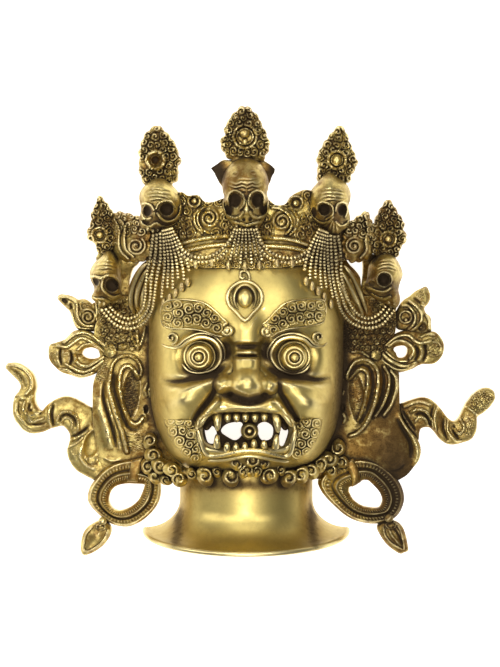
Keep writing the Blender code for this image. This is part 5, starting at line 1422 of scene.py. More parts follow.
# A plate holds pairs: a pixel of each edge, then the height of both, or of each
leftSide = {
    "skullGround": [(100, 250, 140, 256, 24), (96, 258, 138, 263, 23), (98, 266, 133, 268, 21),
        (98, 275, 130.5, 275, 18), (98, 285, 129, 284, 16), (98, 292, 131, 291, 15),
        (97, 300, 136, 300, 14), (97, 310, 138, 310, 13)],
    "lockGround": [(149, 256, 166, 256, 44, 52), (146, 262, 166, 262, 36, 46),
        (140, 269, 165, 269, 28, 40), (136, 276, 164, 276, 22, 36), (133.5, 284, 163, 284, 18, 32),
        (131.5, 292, 162, 292, 15, 30), (131, 302, 160, 302, 12, 28)],
    "ground": [(97, 296, 163, 296, 17, 22), (98, 306, 162, 306, 17, 22), (98, 316, 161, 316, 16, 22),
        (95, 326, 160, 326, 16, 22), (94, 336, 159, 336, 16, 22), (97, 346, 158, 346, 16, 22),
        (100, 356, 158, 356, 16, 21), (99, 364, 158, 364, 16, 21), (97, 372, 157, 372, 15, 21),
        (93.5, 382, 157, 382, 15, 21), (92.5, 392, 157, 392, 15, 21), (92.5, 402, 157, 402, 15, 21),
        (92.5, 412, 158, 412, 15, 21), (93, 424, 166, 424, 15, 21), (95, 436, 172, 436, 15, 21),
        (97, 448, 180, 448, 14, 19), (98, 458, 188, 458, 14, 16), (99, 466, 192, 466, 13, 14),
        (101, 474, 174, 474, 12, 18)],
    "groundFeatures": [("mound", (124, 395), (13, 28), 5.0, 3.0),
        ("cord", [(138.5, 378), (141.5, 373), (141, 367), (138, 361), (133.5, 357), (128, 355.5),
        (122, 356), (116.5, 359), (112, 365), (110.5, 373), (110, 381)], 2.2, 3.0),
        ("cord", [(110.5, 374), (108.5, 384), (109, 392), (112, 402), (115, 412), (119, 422),
        (122.5, 432), (124.5, 441), (127, 452)], 3.2, 3.8),
        ("ridge", [(114, 374), (114, 388), (118, 402), (123, 416), (128, 427), (135, 430.5), (141, 427)],
        2.2, -3.0), ("cord", [(138, 378), (135, 372), (131.5, 367.5), (128, 365), (124, 366.5),
        (121, 371), (119.5, 378), (119.5, 388), (121.5, 398), (124, 407), (127, 415), (130.5, 421.5),
        (134.5, 424.5), (139, 423.5), (143, 418)], 2.8, 3.0),
        ("socket", (131, 394), (8.5, 25), 4.0, -0.1), ("grain", (131, 394), (9, 25), 1.5, 0.45),
        ("ridge", [(104, 380), (103.5, 398), (108, 414), (113, 430), (116.5, 448)], 2.0, -2.8),
        ("ridge", [(97, 396), (100, 412), (106, 430), (111, 450)], 5.0, 2.4),
        ("ridge", [(106, 398), (110, 412), (114, 424), (118, 438), (120, 450)], 1.4, 1.4),
        ("grain", (136, 442), (16, 12), 1.6, 0.41), ("grain", (102, 370), (9, 16), 1.5, 0.36),
        ("socket", (146, 409), (2.4, 4.2), 4.0), ("socket", (116, 308), (7, 5), 3.0),
        ("ridge", [(148, 382), (145, 390), (147, 397)], 1.6, 1.8),
        ("ridge", [(152, 385), (149, 391), (151, 398)], 1.6, 1.8),
        ("ridge", [(143, 413), (146, 417), (144, 422)], 1.6, 1.4),
        ("ridge", [(150, 434), (148, 442), (152, 449)], 1.8, 1.8),
        ("ridge", [(156, 434), (154, 442), (157, 450)], 1.8, 1.8),
        ("curls", scattered(102, 301, 133, 346, 5.6), 3.2, 1.35, 2.0),
        ("dome", (110, 351), (6.4, 6.4), 3.4), ("dome", (122, 347), (4.2, 3.4), 2.2),
        ("dome", (132, 349), (3.0, 2.6), 1.6), ("circle", (110, 351), 6.2, 1.2, 0.8),
        ("cord", [(130, 330), (133, 340), (138, 350)], 1.8, 1.8),
        ("cord", [(136, 328), (138, 337), (138, 348)], 1.8, 1.8),
        ("cord", [(145, 327), (143, 337), (139, 348)], 1.8, 1.8), ("dome", (136.5, 337), (2.2, 4.4), 1.4),
        ("ridge", [(104, 458), (112, 461), (122, 459)], 2.0, 1.0)],
    "leaf": [(57, 298), (59.5, 294.5), (66, 294.5), (73, 296.5), (78, 299.5), (84, 298.8), (90, 302),
        (94, 307), (95.5, 302), (100, 302), (103, 312), (102, 324), (96, 331), (86, 331), (79, 330),
        (75, 326), (72, 319), (70, 312), (66, 308), (61, 303)],
    "leafFeatures": [("cord", [(59, 297), (66, 297), (73, 300), (77, 305), (77, 312), (79, 320),
        (85, 326), (93, 326)], 2.0, 2.0),
        ("cord", [(72, 313), (74, 321), (80, 328), (90, 329)], 1.5, 1.4),
        ("spiral", (88, 317), 8.2, 2.1, -1, 2.6, 1.7, 2.2), ("dome", (88.5, 317), (3.0, 3.4), 1.8),
        ("cord", [(96, 303), (97, 311), (97, 320)], 2.0, 2.0),
        ("socket", (65, 301), (3.6, 2.2), 2.2, -0.5), ("dome", (67, 307), (3.6, 2.4), 1.4, -0.6),
        ("grain", (85, 305), (8, 5), 1.4, 0.32), ("ridge", [(70, 303), (72, 309)], 1.4, -1.6),
        ("ridge", [(80, 302), (81, 310)], 1.4, 1.2)],
    "bow": [(48.3, 353, 82, 353.5, 13), (49.5, 345, 82.5, 351.5, 13), (56, 342.5, 83.5, 350, 13),
        (65, 339, 85, 348.7, 13), (73, 331.5, 88, 347.9, 13), (83, 329.5, 91, 347.5, 13),
        (93, 333, 94, 348, 13), (101, 339, 97.5, 349.5, 14), (109, 345, 100, 352, 14),
        (111, 354, 101.2, 354, 14), (106, 364, 99, 357, 14), (99, 371, 96, 358.2, 13),
        (90, 376, 93, 358.7, 13), (80, 378, 90, 358.6, 12), (70, 375, 87.5, 358, 12),
        (61, 372, 85, 357, 12), (54, 366, 83.5, 355.7, 12), (49.5, 360, 82.3, 354.6, 12)],
    "bowFeatures":
        [("cord", [(64, 342), (72, 335.5), (82, 332), (91, 334.5), (98, 340), (107, 347)], 2.8, 2.0),
        ("cord", [(58, 346), (67, 347), (74, 342), (81, 338), (89, 340.5), (97, 346), (104, 351)], 2.6,
        2.0), ("cord", [(78, 350), (84, 345), (92, 344.5), (99, 348), (103, 352)], 1.8, 1.4),
        ("cord", [(74, 356), (79, 364), (87, 366), (95, 362), (103, 357)], 2.8, 2.0),
        ("cord", [(66, 364), (74, 369), (83, 372), (92, 369), (103, 361)], 2.4, 1.8),
        ("cord", [(60, 369), (68, 370.5), (75, 375), (84, 376), (93, 373)], 2.2, 1.6),
        ("grain", (54, 356), (6.5, 11), 1.5, 0.36), ("grain", (66, 356), (4, 6), 1.5, 0.27),
        ("ridge", [(61, 347), (60, 356), (62, 366)], 1.3, -2.0),
        ("ridge", [(70, 350), (72, 357), (70, 365)], 1.3, -2.0),
        ("ridge", [(73, 352), (76, 358), (73, 364)], 1.3, 1.4)],
    "scarf": [(5, 367, 5.3, 368, 12), (8, 363, 8, 371, 12), (18, 363, 13, 376, 12),
        (27, 368, 18, 381, 12), (34, 375, 20.5, 386, 12), (36.5, 386, 19, 391, 11),
        (35, 396, 14.5, 397, 11), (36, 404, 12.5, 408, 10), (40, 410.5, 14, 418, 10),
        (41, 411, 20, 428, 10), (43, 410, 31, 433.5, 10), (47, 405, 43, 432, 11), (54, 400, 50, 429, 12),
        (62, 396.7, 57, 427, 13), (71, 397, 63, 426, 13), (80, 401, 68, 431, 12), (88, 406, 70, 436, 12),
        (94, 410, 69, 443, 12), (99, 418, 67, 450, 11), (103, 430, 69, 460, 11), (106, 442, 76, 470, 10),
        (108, 454, 86, 476, 10), (110, 464, 98, 482, 9)],
    "scarfFeatures":
        [("cord", [(8, 365), (18, 366), (26, 371), (31, 378), (31, 388), (26, 394)], 2.2, 1.8),
        ("ridge", [(9, 369), (17, 373), (23, 380), (25, 388)], 1.6, -1.4),
        ("grain", (17, 380), (7, 10), 1.4, 0.32), ("ridge", [(14, 396), (22, 400), (34, 395)], 1.5, -2.2),
        ("cord", [(16, 399), (25, 399), (33, 396)], 1.8, 1.5),
        ("cord", [(25, 402), (23, 409), (28, 415), (36, 414), (41, 411)], 1.8, 1.8),
        ("cord", [(17, 404), (17, 413), (24, 420), (34, 421), (43, 418)], 2.0, 1.8),
        ("ridge", [(30, 403), (29, 409), (33, 411)], 1.6, -2.0), ("grain", (26, 427), (10, 5), 1.4, 0.32),
        ("ridge", [(17, 421), (28, 424), (40, 424), (47, 422)], 1.4, -1.6),
        ("cord", [(52, 401), (49, 410), (49, 420), (52, 428)], 2.0, 1.6),
        ("ridge", [(54, 404), (52, 414), (54, 426)], 1.4, -2.0),
        ("cord", [(57, 420), (60, 414), (67, 411.5), (74, 414), (78, 421), (78, 430)], 1.7, 1.6),
        ("cord", [(61, 424), (64, 418.5), (69, 418), (72, 422), (72, 428)], 1.5, 1.4),
        ("ridge", [(59, 423), (62, 416), (68, 414.5), (75, 420), (75, 428)], 1.2, -1.4),
        ("cord", [(70, 440), (78, 437), (88, 431)], 1.7, 1.5),
        ("cord", [(68, 447), (77, 443), (83, 437)], 1.6, 1.4),
        ("ridge", [(70, 437), (80, 433), (90, 425)], 1.3, -1.8),
        ("socket", (92, 444), (8, 14), 4.0, -0.3), ("circle", (92, 460), 5.5, 1.4, 1.0, 0.6),
        ("grain", (76, 455), (7, 9), 1.5, 0.36),
        ("ridge", [(83, 445), (80, 455), (86, 465), (96, 470)], 1.8, 1.4)],
    "ring": [(87.5, 498, 109, 500, 11.5), (89.5, 488, 109.5, 495.5, 11.5), (94.5, 480, 111, 491.5, 11.5),
        (101, 472, 113.5, 488.3, 12.5), (110, 465, 117, 485.8, 13.5), (120, 461, 121, 484.5, 13.5),
        (132, 459, 127, 483.6, 14.5), (144, 461, 134, 483.7, 14.5), (153, 467, 143.8, 484.4, 14.5),
        (159, 476, 144.2, 486.5, 14.5), (161, 487, 143.3, 489.5, 13.5), (160, 498, 141.5, 494, 12.5),
        (156, 507, 139, 499, 12.5), (149, 515, 135.5, 503, 12.5), (140, 522, 131, 506.5, 12.5),
        (130, 526.3, 126, 508.9, 12.5), (120, 526.3, 121, 510.3, 11.5), (111, 523.5, 117.5, 510.3, 11.5),
        (103, 518, 114, 509, 11.5), (95, 511, 111, 506, 11.5), (90, 505, 109.5, 503, 11.5)],
    "strap": [(131, 460, 143, 457, 18), (130, 466, 142, 464, 19), (129, 474, 140, 472, 19),
        (127, 482, 138, 482, 17)],
    "knob": (102.5, 521, 16.0), "knobSize": 5.6,
    "pendant": [(98, 521), (103, 519), (109, 524), (111.5, 529), (110, 536), (105.5, 543), (99, 549),
        (91, 553.5), (84, 555.3), (81, 551.5), (81, 543), (82.5, 535), (86.5, 528), (92, 524)],
    "pendantPeak": (97, 537),
    "pendantFeatures": [("circle", (99, 521), 4.6, 1.3, 1.2), ("circle", (101, 527), 4.4, 1.3, 1.2, 0.7),
        ("cord", [(92, 527), (86, 534), (84, 543), (84, 551), (91, 550), (99, 545), (105, 538),
        (108, 530)], 1.5, 1.5), ("mound", (96, 535), (4.0, 5.0), 1.4, 2.0, 0.6)],
}

rightSide = {
    "skullGround": [(362, 254, 384, 254, 34, 26), (363, 264, 380, 264, 24, 22),
        (363, 274, 378, 274, 18, 18), (362, 283, 376, 283, 15, 15), (360, 292, 388, 292, 14, 14),
        (352, 300, 397, 300, 13, 13), (350, 310, 396, 310, 12, 12), (350, 318, 396, 320, 11, 11)],
    "lockGround": [(330, 256, 345, 258, 52, 46), (330, 264, 350, 265, 46, 32),
        (331, 270, 355, 270, 42, 26), (332, 277, 360, 277, 38, 20), (333, 285, 361, 285, 34, 17),
        (334, 293, 362, 293, 30, 15), (335, 302, 364, 302, 28, 14), (336, 312, 366, 312, 24, 12)],
    "ground": [(334, 296, 398, 296, 22, 17), (334, 306, 396, 306, 22, 17), (335, 316, 396, 316, 22, 16),
        (335, 326, 396, 326, 22, 16), (336, 336, 394, 336, 22, 16), (337, 346, 388, 346, 22, 16),
        (337, 356, 386, 356, 21, 16), (338, 364, 391, 364, 21, 16), (338, 372, 398.5, 372, 21, 15),
        (338, 382, 399.3, 382, 21, 15), (337, 392, 399.5, 392, 21, 15), (337, 402, 399.7, 402, 21, 15),
        (337, 410, 400, 410, 21, 15), (336, 420, 403, 420, 21, 15), (326, 430, 410, 430, 21, 15),
        (320, 440, 418, 440, 20, 14), (314, 450, 421, 450, 18, 14), (308, 460, 419, 460, 15, 14),
        (306, 468, 413, 468, 14, 13), (308, 475, 407, 475, 13, 12), (320, 480, 399, 480, 16, 12)],
    "groundFeatures": [("mound", (362, 396), (12, 30), 5.0, 3.0),
        ("cord", [(347, 378), (349, 370), (353, 363.5), (358, 360), (364, 359.5), (370, 361), (375, 366),
        (378, 372), (378.5, 380), (377.5, 390), (375.5, 400), (372, 411), (368, 420), (363, 428),
        (357, 433.5), (350, 436)], 2.6, 3.4),
        ("cord", [(350, 379), (353, 375.5), (357, 371), (361, 369), (365, 370.5), (367.5, 374),
        (368, 382), (366, 393), (364, 403), (361.5, 412), (358, 420)], 2.0, 2.8),
        ("ridge", [(352, 371), (358, 365.5), (365, 365), (371, 370), (373, 380), (372, 393), (368.5, 406),
        (363, 419), (356, 428)], 1.8, -2.6), ("socket", (357, 398), (8, 26), 3.6, 0.12),
        ("grain", (356, 398), (9, 27), 1.5, 0.3),
        ("cord", [(384, 367), (388.5, 374), (389.5, 382), (388, 391), (385, 400), (381, 408), (375, 416)],
        2.4, 3.0),
        ("cord", [(391, 371), (396, 378), (396.5, 388), (394, 398), (390, 407), (384, 415)], 2.6, 3.0),
        ("ridge", [(391.5, 376), (392, 388), (389, 398), (384.5, 408), (378, 417)], 1.4, -2.4),
        ("ridge", [(382, 368), (384, 380), (382.5, 394), (378, 408), (372, 420)], 1.8, -2.4),
        ("mound", (389, 447), (13, 19), 6.0, 2.6),
        ("ridge", [(398, 411), (402, 421), (408, 430), (414, 438), (417.5, 448), (417.5, 458),
        (413, 467)], 3.4, 2.4),
        ("ridge", [(397, 418), (403, 429), (409, 440), (411, 450), (410, 458)], 2.0, -2.4),
        ("ridge", [(388, 467), (394, 468), (399, 465.5), (403, 460), (404.5, 454)], 2.4, 1.05),
        ("ridge", [(390, 471), (398, 470), (405, 464)], 1.4, -1.2),
        ("ridge", [(343, 371), (340, 376), (344, 381)], 1.8, 1.8),
        ("ridge", [(347, 371), (345, 376), (349, 380)], 1.8, 1.6),
        ("ridge", [(340, 388), (337, 394), (341, 400)], 1.8, 2.0),
        ("ridge", [(344, 390), (342, 396)], 1.6, 1.6),
        ("ridge", [(342, 412), (345, 418), (343, 424)], 1.7, 1.6),
        ("ridge", [(338, 444), (335, 450), (340, 455)], 1.9, 2.0),
        ("ridge", [(344, 446), (341, 452)], 1.6, 1.6), ("socket", (343, 408), (2.4, 4.0), 3.0),
        ("curls", scattered(344, 326, 392, 352, 6.2, [(376, 355, 6)]), 3.4, 1.45, 2.0),
        ("curls", scattered(374, 300, 396, 326, 5.6), 3.2, 1.35, 2.0),
        ("dome", (376, 355), (5.2, 5.2), 3.2), ("circle", (376, 355), 4.6, 1.1, 0.8),
        ("cord", [(352, 352), (361, 352), (369, 357)], 1.6, 1.4)],
    "leaf": [(426.5, 286.5), (429.5, 292), (430.5, 298), (428, 304), (424.5, 308), (426, 313),
        (430.5, 317), (431, 324), (431, 332), (424, 336), (414, 334), (406, 331), (398, 329), (394, 322),
        (396, 313), (400, 305), (404, 300), (410, 296), (416, 291), (422, 288)],
    "leafFeatures":
        [("cord", [(402, 306), (408, 306), (413, 311), (415.5, 318), (413, 325), (408, 330)], 2.0, 2.0),
        ("cord", [(409, 301), (416, 306), (421, 313), (421.5, 320), (418, 326), (411, 331)], 2.2, 2.2),
        ("circle", (405.5, 317), 6.0, 1.7, 1.8), ("dome", (406, 320), (2.2, 2.2), 2.4),
        ("ridge", [(413, 297), (419, 302), (424, 305)], 1.6, -1.4),
        ("grain", (421, 294), (6, 6), 1.4, 0.36), ("socket", (422, 327), (5, 5), 2.8),
        ("cord", [(426, 315), (429, 321), (429, 329)], 1.7, 1.6),
        ("dome", (422.5, 304), (2.4, 3.0), 1.6, 0.6), ("dome", (421, 327.5), (1.3, 1.3), 2.0)],
    "bow": [(444.2, 346, 407.6, 350.5, 13), (442, 356, 407, 354, 13), (434, 363.5, 405, 356.5, 13),
        (421, 364.5, 402.5, 357.6, 13), (411, 369.5, 400, 357.6, 13), (398, 372.5, 398, 357, 13),
        (388, 368, 396.6, 355, 14), (380, 360, 396, 353, 14), (379, 350, 394.6, 351.4, 14),
        (385, 342, 393.6, 349.4, 14), (392, 336, 395, 347.2, 14), (402, 331, 399, 346, 13),
        (412, 330, 402, 345.6, 13), (424, 333, 405, 346, 13), (434, 331.5, 406.8, 347.4, 13),
        (441, 337.5, 407.6, 348.8, 13)],
    "bowFeatures": [("cord", [(386, 345), (393, 339), (401, 335.5), (409, 335.5), (415, 341),
        (422, 343.5), (430, 341)], 2.4, 2.0),
        ("cord", [(389, 346), (396, 341.5), (404, 341.5), (411, 346), (413.5, 352), (410, 358)], 2.6,
        2.0),
        ("cord", [(383, 354), (388, 359), (395, 363), (402, 366), (409, 366), (416, 363)], 2.8, 2.0),
        ("cord", [(381, 360), (388, 365), (396, 369.5), (405, 370), (413, 366)], 2.2, 1.8),
        ("cord", [(386, 352), (392, 357), (399, 361), (407, 361)], 1.8, 1.6),
        ("cord", [(421, 337), (427, 334), (434, 335)], 1.8, 1.4),
        ("ridge", [(415, 345), (418, 352), (415, 361)], 1.4, -2.0),
        ("ridge", [(424, 343), (426, 352), (423, 362)], 1.3, -2.0),
        ("ridge", [(420, 345), (422, 353), (419, 361)], 1.6, 1.6),
        ("grain", (434, 347), (10, 13), 1.5, 0.41), ("circle", (434, 349), 7.0, 1.3, 0.9)],
    "scarf": [(495.2, 396, 495.4, 398, 12), (494, 391.5, 493.5, 402, 12), (489, 387.8, 489, 408, 12),
        (482, 388.5, 483, 413, 12), (475, 392.5, 477.5, 417, 12), (469, 399, 477, 424, 12),
        (464, 407, 476, 432, 11), (461, 414, 471, 439.5, 11), (457, 420, 463, 442.5, 10),
        (452.5, 421, 455, 444.5, 10), (447, 417, 447, 444, 10), (441, 409, 440, 439, 11),
        (435, 402.5, 434, 431.5, 12), (428, 398, 429, 427.5, 13), (420, 397.5, 422, 428, 13),
        (411, 400, 419.5, 432, 12), (402, 403.5, 418.5, 440, 11), (396, 406, 414, 440, 10)],
    "scarfFeatures": [("grain", (481, 401), (14, 12), 1.5, 0.45),
        ("cord", [(466, 407), (472, 411), (477, 415)], 1.8, 1.4),
        ("grain", (467, 426), (9, 12), 1.5, 0.32),
        ("cord", [(460, 419), (464, 427), (459, 434), (453, 428)], 1.8, 1.7),
        ("ridge", [(454, 424), (454, 432), (459, 439)], 1.4, -2.0),
        ("cord", [(448, 421), (448, 431), (455, 440), (461, 441)], 1.8, 1.6),
        ("ridge", [(444, 416), (443, 428), (448, 441)], 1.4, -2.0),
        ("cord", [(438, 407), (435, 417), (436, 430)], 2.4, 1.8),
        ("ridge", [(434, 404), (431, 415), (431, 427)], 1.4, -1.8),
        ("cord", [(404, 407), (413, 403), (422, 402), (430, 405)], 2.0, 1.6),
        ("cord", [(411, 412), (417, 409.5), (425, 411), (431, 419), (433, 427)], 2.0, 1.8),
        ("cord", [(415, 421), (419, 417), (425, 419), (428, 425)], 1.8, 1.6),
        ("ridge", [(415, 415), (421, 413), (427, 417), (430, 425)], 1.3, -1.8),
        ("ridge", [(402, 410), (408, 419), (416, 431)], 1.4, -2.0),
        ("grain", (410, 418), (6, 9), 1.5, 0.27)],
    "ring": [(318, 482, 349, 490, 12.5), (323, 473, 349.4, 487.4, 13.5), (332, 466, 352, 486.2, 14.5),
        (342, 461.3, 356, 485.2, 14.5), (353, 459, 360, 481.8, 14.5), (365, 459.3, 364, 480, 14.5),
        (378, 462.7, 368, 480.4, 13.5), (388, 469, 372, 483.8, 12.5), (396, 477, 376, 487.8, 12.5),
        (402, 487.5, 380, 492.8, 11.5), (404.2, 499, 382.4, 499, 11.5), (401, 510, 381.5, 504.2, 11.5),
        (395, 517.5, 379, 507.6, 11.5), (386, 521.5, 374, 507.9, 11.5), (376, 523.7, 368, 507.2, 11.5),
        (365, 523, 363, 506, 12.5), (354, 520, 358, 503.4, 12.5), (344, 514.3, 354, 500.2, 12.5),
        (335, 506.5, 351.5, 496.7, 12.5), (327, 498.5, 350, 493.6, 12.5), (321, 490.5, 349, 491.6, 12.5)],
    "strap": [(344, 463, 353, 458, 18), (348, 470, 357, 466, 19), (351, 478, 360, 474, 19),
        (352, 487, 361, 482, 17)],
    "knob": (389, 518, 16.0), "knobSize": 6.0,
    "pendant": [(380, 523), (387, 520), (396, 521.5), (402, 526), (405.5, 534), (407.5, 543),
        (408.3, 550.5), (404, 552.5), (400, 553.7), (392, 549), (385, 542.5), (380, 535), (377, 528)],
    "pendantPeak": (394, 535),
    "pendantFeatures": [("ridge", [(388, 528), (393, 537), (401, 546)], 1.6, 1.4),
        ("ridge", [(392, 526), (398, 534), (403, 545)], 1.2, -1.2),
        ("cord", [(383, 527), (386, 537), (394, 545), (402, 549)], 1.3, 1.2),
        ("cord", [(397, 524), (401, 532), (403, 541), (404, 549)], 1.3, 1.2),
        ("circle", (391, 525), 5.0, 1.2, 1.0, 0.7)],
}


weaveWaves = {
    # the ridges over a ring's width: each one's place, width and height, and whether it is beaded
    "ridges": [(0.12, 0.065, 1.5, False), (0.31, 0.075, 1.3, True), (0.46, 0.06, -1.4, False),
               (0.59, 0.055, 1.5, False), (0.77, 0.07, 1.0, True)],
    "beadPitch": 1.9, "beadDepth": 0.45,
}


def ringWeave(across, along):
    # Two cords with a row of beads beside each, and a groove between
    depth = weaveWaves["beadDepth"]
    beads = 1 - depth + depth * np.cos(2 * math.pi * along / weaveWaves["beadPitch"])
    return sum(height * (beads if beaded else 1.0) * np.exp(-((across - place) / width) ** 2)
               for place, width, height, beaded in weaveWaves["ridges"])


sidePlates = {
    "skullGround": {"top": 0.5, "under": 8.0, "columns": 24, "rows": 40, "power": 6.0, "ends": (0.03, 0.03)},
    "lockGround": {"top": 0.5, "under": 8.0, "columns": 24, "rows": 40, "power": 6.0, "ends": (0.03, 0.03)},
    "ground": {"top": 1.0, "under": 14.0, "columns": 84, "rows": 250, "power": 8.0, "ends": (0.02, 0.02)},
    "bow": {"top": 4.0, "under": 7.0, "columns": 44, "rows": 150, "power": 2.4, "loop": True},
    "scarf": {"top": 4.5, "under": 8.0, "columns": 44, "rows": 190, "power": 2.2, "ends": (0.02, 0.02)},
    "ring": {"top": 4.5, "under": 6.0, "columns": 46, "rows": 290, "power": 2.2, "loop": True,
             "weave": ringWeave},
    "strap": {"top": 2.2, "under": 6.0, "columns": 24, "rows": 40, "power": 2.2, "ends": (0.1, 0.1)},
    "leaf": {"low": 11.5, "depth": 5.0, "rings": 40, "around": 110, "power": 4.0, "under": 6.0},
    "pendant": {"low": 11.0, "depth": 5.0, "rings": 30, "around": 90, "power": 2.4, "under": 6.0},
}


def sidePlate(side, name, peak=None):
    # A plate of a side with its own features, a medallion where it has a peak
    features = side.get(name + "Features", ())
    if peak is None:
        return pillow(side[name], features=features, **sidePlates[name])
    return medallion(side[name], peak, features=features, **sidePlates[name])


def sideShapes(side):
    grounds = [sidePlate(side, name) for name in ("skullGround", "lockGround", "ground")]
    return grounds + [sidePlate(side, "leaf", np.mean(side["leaf"], 0)), sidePlate(side, "bow")]


def ringShapes(side):
    size = side["knobSize"]
    return [sidePlate(side, "ring"), sidePlate(side, "strap"),
            ballShape(spots(side["knob"]), (size, size, size * 0.9), around=28, rings=15),
            sidePlate(side, "pendant", side["pendantPeak"])]


for sideName, side, finish in (("left", leftSide, worn), ("right", rightSide, browned)):
    lines = rubbedHighlightLines(side["groundFeatures"] + side["leafFeatures"] + side["bowFeatures"])
    built(sideName + "Side", sideShapes(side), finish, moreStainAndShade=lines)
    built(sideName + "Scarf", [sidePlate(side, "scarf")], worn, moreStainAndShade=rubbedHighlightLines(side["scarfFeatures"]))
    built(sideName + "Ring", ringShapes(side), carved)


# Bead work, drops and locks of hair

# A curtain holds its outermost string on the left and on the right, then how far down each hangs
beadWork = {
    "bead": 2.3, "pitch": 2.25, "lift": 0.7,
    "curtains": [([(235, 228, 88), (231, 240, 83), (227, 252, 80), (224, 264, 78)], [(256, 228, 88),
        (261, 240, 83), (265, 252, 80), (268, 264, 78)], [0.5, 0.92, 0.8, 1.0, 0.86, 1.0, 0.8, 0.92,
        0.5]), ([(163, 229, 74), (164.5, 247, 71), (165, 265, 66), (163, 282, 61), (161.5, 298, 56)],
        [(171, 227, 76), (178, 240, 76), (184, 253, 75), (188, 265, 74), (190, 276, 73)], [1.0, 0.93, 1.0,
        0.9, 1.0, 0.92]), ([(320, 228, 77), (313, 241, 76), (308, 253, 75), (305, 265, 74),
        (304, 275, 73)], [(327, 231, 74), (327, 248, 71), (328, 265, 66), (330, 282, 60), (333, 298, 55)],
        [0.92, 1.0, 0.9, 1.0, 0.93, 1.0])],
    "swags": [[(173, 236, 73), (181, 248, 75), (191, 255.5, 77), (203, 257.5, 79), (215, 254, 81),
        (226, 245, 83), (233, 235, 86)], [(171, 242, 71), (180, 253, 74), (192, 260.5, 76),
        (204, 262, 78), (217, 259, 80), (228, 250, 82)], [(258, 235, 86), (263, 245, 83), (272, 253, 81),
        (284, 257.5, 79), (297, 257, 77), (308, 250, 74), (316, 240, 73)], [(259, 246, 82),
        (267, 256, 80), (281, 262, 78), (297, 262, 76), (309, 256, 73), (318, 246, 71)], [(154, 234, 69),
        (152, 247, 64), (150, 260, 58), (147.5, 272, 53), (146, 284, 49), (145.5, 296, 44),
        (143, 308, 38), (136, 316, 33), (127, 318.5, 31), (117, 314, 30), (109, 306, 29)],
        [(157.5, 233, 71), (156.5, 247, 67), (155, 260, 61), (152.5, 272, 57), (151, 284, 53),
        (150.5, 296, 48), (148, 309, 41), (141, 319, 35), (129, 323.5, 32), (116, 319, 31),
        (105, 308, 29)], [(160.5, 232, 73), (161, 247, 69), (160.5, 260, 64), (158, 272, 61),
        (156, 284, 57), (154.5, 296, 52), (152, 310, 44), (144, 323, 36), (130, 328.5, 32),
        (115, 324, 30), (101, 309, 28)], [(337, 235, 68), (340, 248, 62), (341, 261, 57), (341, 273, 54),
        (343, 285, 49), (347, 297, 43), (353, 309, 37), (362, 317, 33), (372, 318, 31), (381, 312, 30),
        (388, 302, 28)], [(333.5, 235, 70), (335, 248, 65), (336, 261, 61), (336.5, 273, 58),
        (338.5, 285, 54), (342, 297, 49), (347, 310, 42), (357, 320, 35), (370, 323, 32), (382, 318, 30),
        (392, 305, 28)], [(330, 234, 72), (330.5, 247, 69), (331, 260, 65), (332, 272, 62),
        (334, 285, 58), (337, 298, 53), (342, 312, 44), (352, 323, 37), (367, 328, 33), (382, 324, 30),
        (395, 309, 27)]],
    "swagBead": 2.5, "swagPitch": 2.45,
    "drops": [(228.5, 265, 78), (245, 266, 79), (259.5, 265, 78), (164, 303, 55), (170, 298, 60),
        (176, 293, 65), (182, 287, 69), (188, 282, 71), (306, 281, 71), (312, 286, 69), (318, 291, 65),
        (324, 297, 60), (331, 304, 55), (196, 264, 77), (212, 262, 79), (277, 263, 79), (292, 263, 77)],
    "dropSize": (3.2, 6.4, 3.2), "dropLift": 0.9, "lockTaper": [0.75, 1.1, 0.7], "lockHeight": 1.5,
    "film": ("mound", (246, 300), (400, 400), 0.34),
    "locks": [([(150, 260, 52), (141, 270, 46), (135, 281, 40), (132, 292, 34), (131.5, 304, 28),
        (134, 314, 23)], 4.6), ([(151, 266, 52), (144, 276, 47), (139, 288, 41), (137, 300, 34),
        (138.5, 312, 26)], 4.0), ([(152, 272, 50), (147, 283, 46), (143.5, 295, 40), (142.5, 308, 31)],
        3.4), ([(340.5, 270, 50), (348, 283, 45), (354, 296, 38), (360, 309, 29), (363, 318, 23)], 3.8),
        ([(344, 266, 50), (352, 276, 45), (358, 288, 39), (363, 302, 30), (367, 314, 23)], 3.8),
        ([(339, 281, 50), (344, 294, 43), (350, 307, 33), (355, 317, 26)], 3.8)],
}


def clearOfHead(path, lift):
    # Lifts a path wherever it would sink below the dome of the head
    path = np.array(path, float)
    path[:, 2] = np.maximum(path[:, 2], domeHeight(path[:, 0], path[:, 1]) + lift)
    return path


def beadShapes():
    # The strings of a curtain fan out evenly between its outer two, and some start one place lower
    shapes = []
    bead, pitch, lift = beadWork["bead"], beadWork["pitch"], beadWork["lift"]
    for *outer, reaches in beadWork["curtains"]:
        first, last = (smoothPath(spots(line), 60) for line in outer)
        for place, reach in zip(np.linspace(0, 1, len(reaches)), reaches):
            path = (first + (last - first) * place)[int(place * 1000) % 2:int(60 * reach)]
            shapes.append(beadString(clearOfHead(path, lift), bead, pitch))
    for line in beadWork["swags"]:
        path = clearOfHead(smoothPath(spots(line), 120), lift)
        shapes.append(beadString(path, beadWork["swagBead"], beadWork["swagPitch"]))
    for place in clearOfHead(spots(beadWork["drops"]), beadWork["dropLift"]):
        shapes.append(ballShape(place, beadWork["dropSize"], around=14, rings=9))
    return shapes


def lockShapes():
    taper = np.interp(np.linspace(0, 1, 70), [0, 0.5, 1], beadWork["lockTaper"])
    return [sweep(smoothPath(spots(knots), 70), width * taper, width * beadWork["lockHeight"],
                  ringProfile(16), ends=(0.15, 0.2)) for knots, width in beadWork["locks"]]


built("beadWork", beadShapes(), carved, stain=0.7, moreStainAndShade=[beadWork["film"]])
built("locks", lockShapes(), carved)


# Floor, light and camera

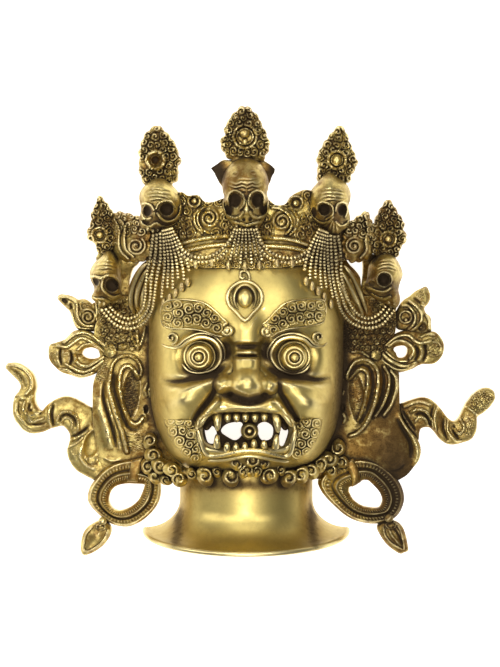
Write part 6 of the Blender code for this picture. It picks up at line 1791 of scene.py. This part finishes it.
studio = {
    "floorGlow": 0.80, "floorReach": 3.0, "floorLevel": -0.0002,    # the last two in m
    "room": (0.11, 0.11, 0.115, 1.0),
    "lights": [
        # name, place in mm, aim in mm, size in mm, watts
        ("upperLeft", (-360, 330, 1000), (-20, 0, 60), (280, 280), 2.5),
        ("upperRight", (380, 300, 1000), (20, 0, 60), (240, 240), 1.9),
        ("aboveCamera", (-20, -120, 1340), (0, -20, 60), (260, 380), 4.7),
        ("leftSide", (-640, 120, 420), (-30, 0, 60), (300, 420), 1.3),
        ("topStrip", (0, 640, 560), (0, 0, 60), (560, 200), 1.1),
        ("lowFill", (0, -560, 760), (0, 0, 60), (560, 260), 2.1),
    ],
}


def floorPiece():
    mesh = bpy.data.meshes.new("floor")
    reach, level = studio["floorReach"], studio["floorLevel"]
    corners = [(x * reach, y * reach, level) for x, y in ((-1, -1), (1, -1), (1, 1), (-1, 1))]
    mesh.from_pydata(corners, [], [(0, 1, 2, 3)])
    floor = bpy.data.objects.new("floor", mesh)
    scene.collection.objects.link(floor)
    material = bpy.data.materials.new("lightTable")
    material.use_nodes = True
    surface = material.node_tree.nodes["Principled BSDF"]
    surface.inputs["Base Color"].default_value = (0.9, 0.9, 0.9, 1.0)
    surface.inputs["Roughness"].default_value = 0.9
    surface.inputs["Emission Color"].default_value = (1.0, 1.0, 1.0, 1.0)
    surface.inputs["Emission Strength"].default_value = studio["floorGlow"]
    mesh.materials.append(material)


def aimed(holder, place, aim):
    place, aim = np.array(place, float), np.array(aim, float)
    ahead = (aim - place) / np.linalg.norm(aim - place)
    holder.location = place * toMetres
    holder.rotation_euler = (math.acos(-ahead[2]), 0, math.atan2(-ahead[0], ahead[1]))


floorPiece()
for name, place, aim, size, watts in studio["lights"]:
    lamp = bpy.data.lights.new(name, "AREA")
    lamp.shape = "RECTANGLE"
    lamp.size, lamp.size_y = (side * toMetres for side in size)
    lamp.energy = watts
    holder = bpy.data.objects.new(name, lamp)
    scene.collection.objects.link(holder)
    aimed(holder, place, aim)

world = bpy.data.worlds.new("room")
scene.world = world
world.use_nodes = True
world.node_tree.nodes["Background"].inputs["Color"].default_value = studio["room"]

eye = bpy.data.objects.new("camera", bpy.data.cameras.new("camera"))
scene.collection.objects.link(eye)
eye.location = (camera["middle"][0] * toMetres, camera["middle"][1] * toMetres, camera["height"] * toMetres)
eye.data.sensor_fit = "HORIZONTAL"
eye.data.sensor_width = 36.0
eye.data.lens = eye.data.sensor_width * camera["height"] / camera["widthSeen"]
eye.data.clip_start = 0.05
scene.camera = eye
scene.view_settings.view_transform = "Standard"
print("floor, lights and camera set")
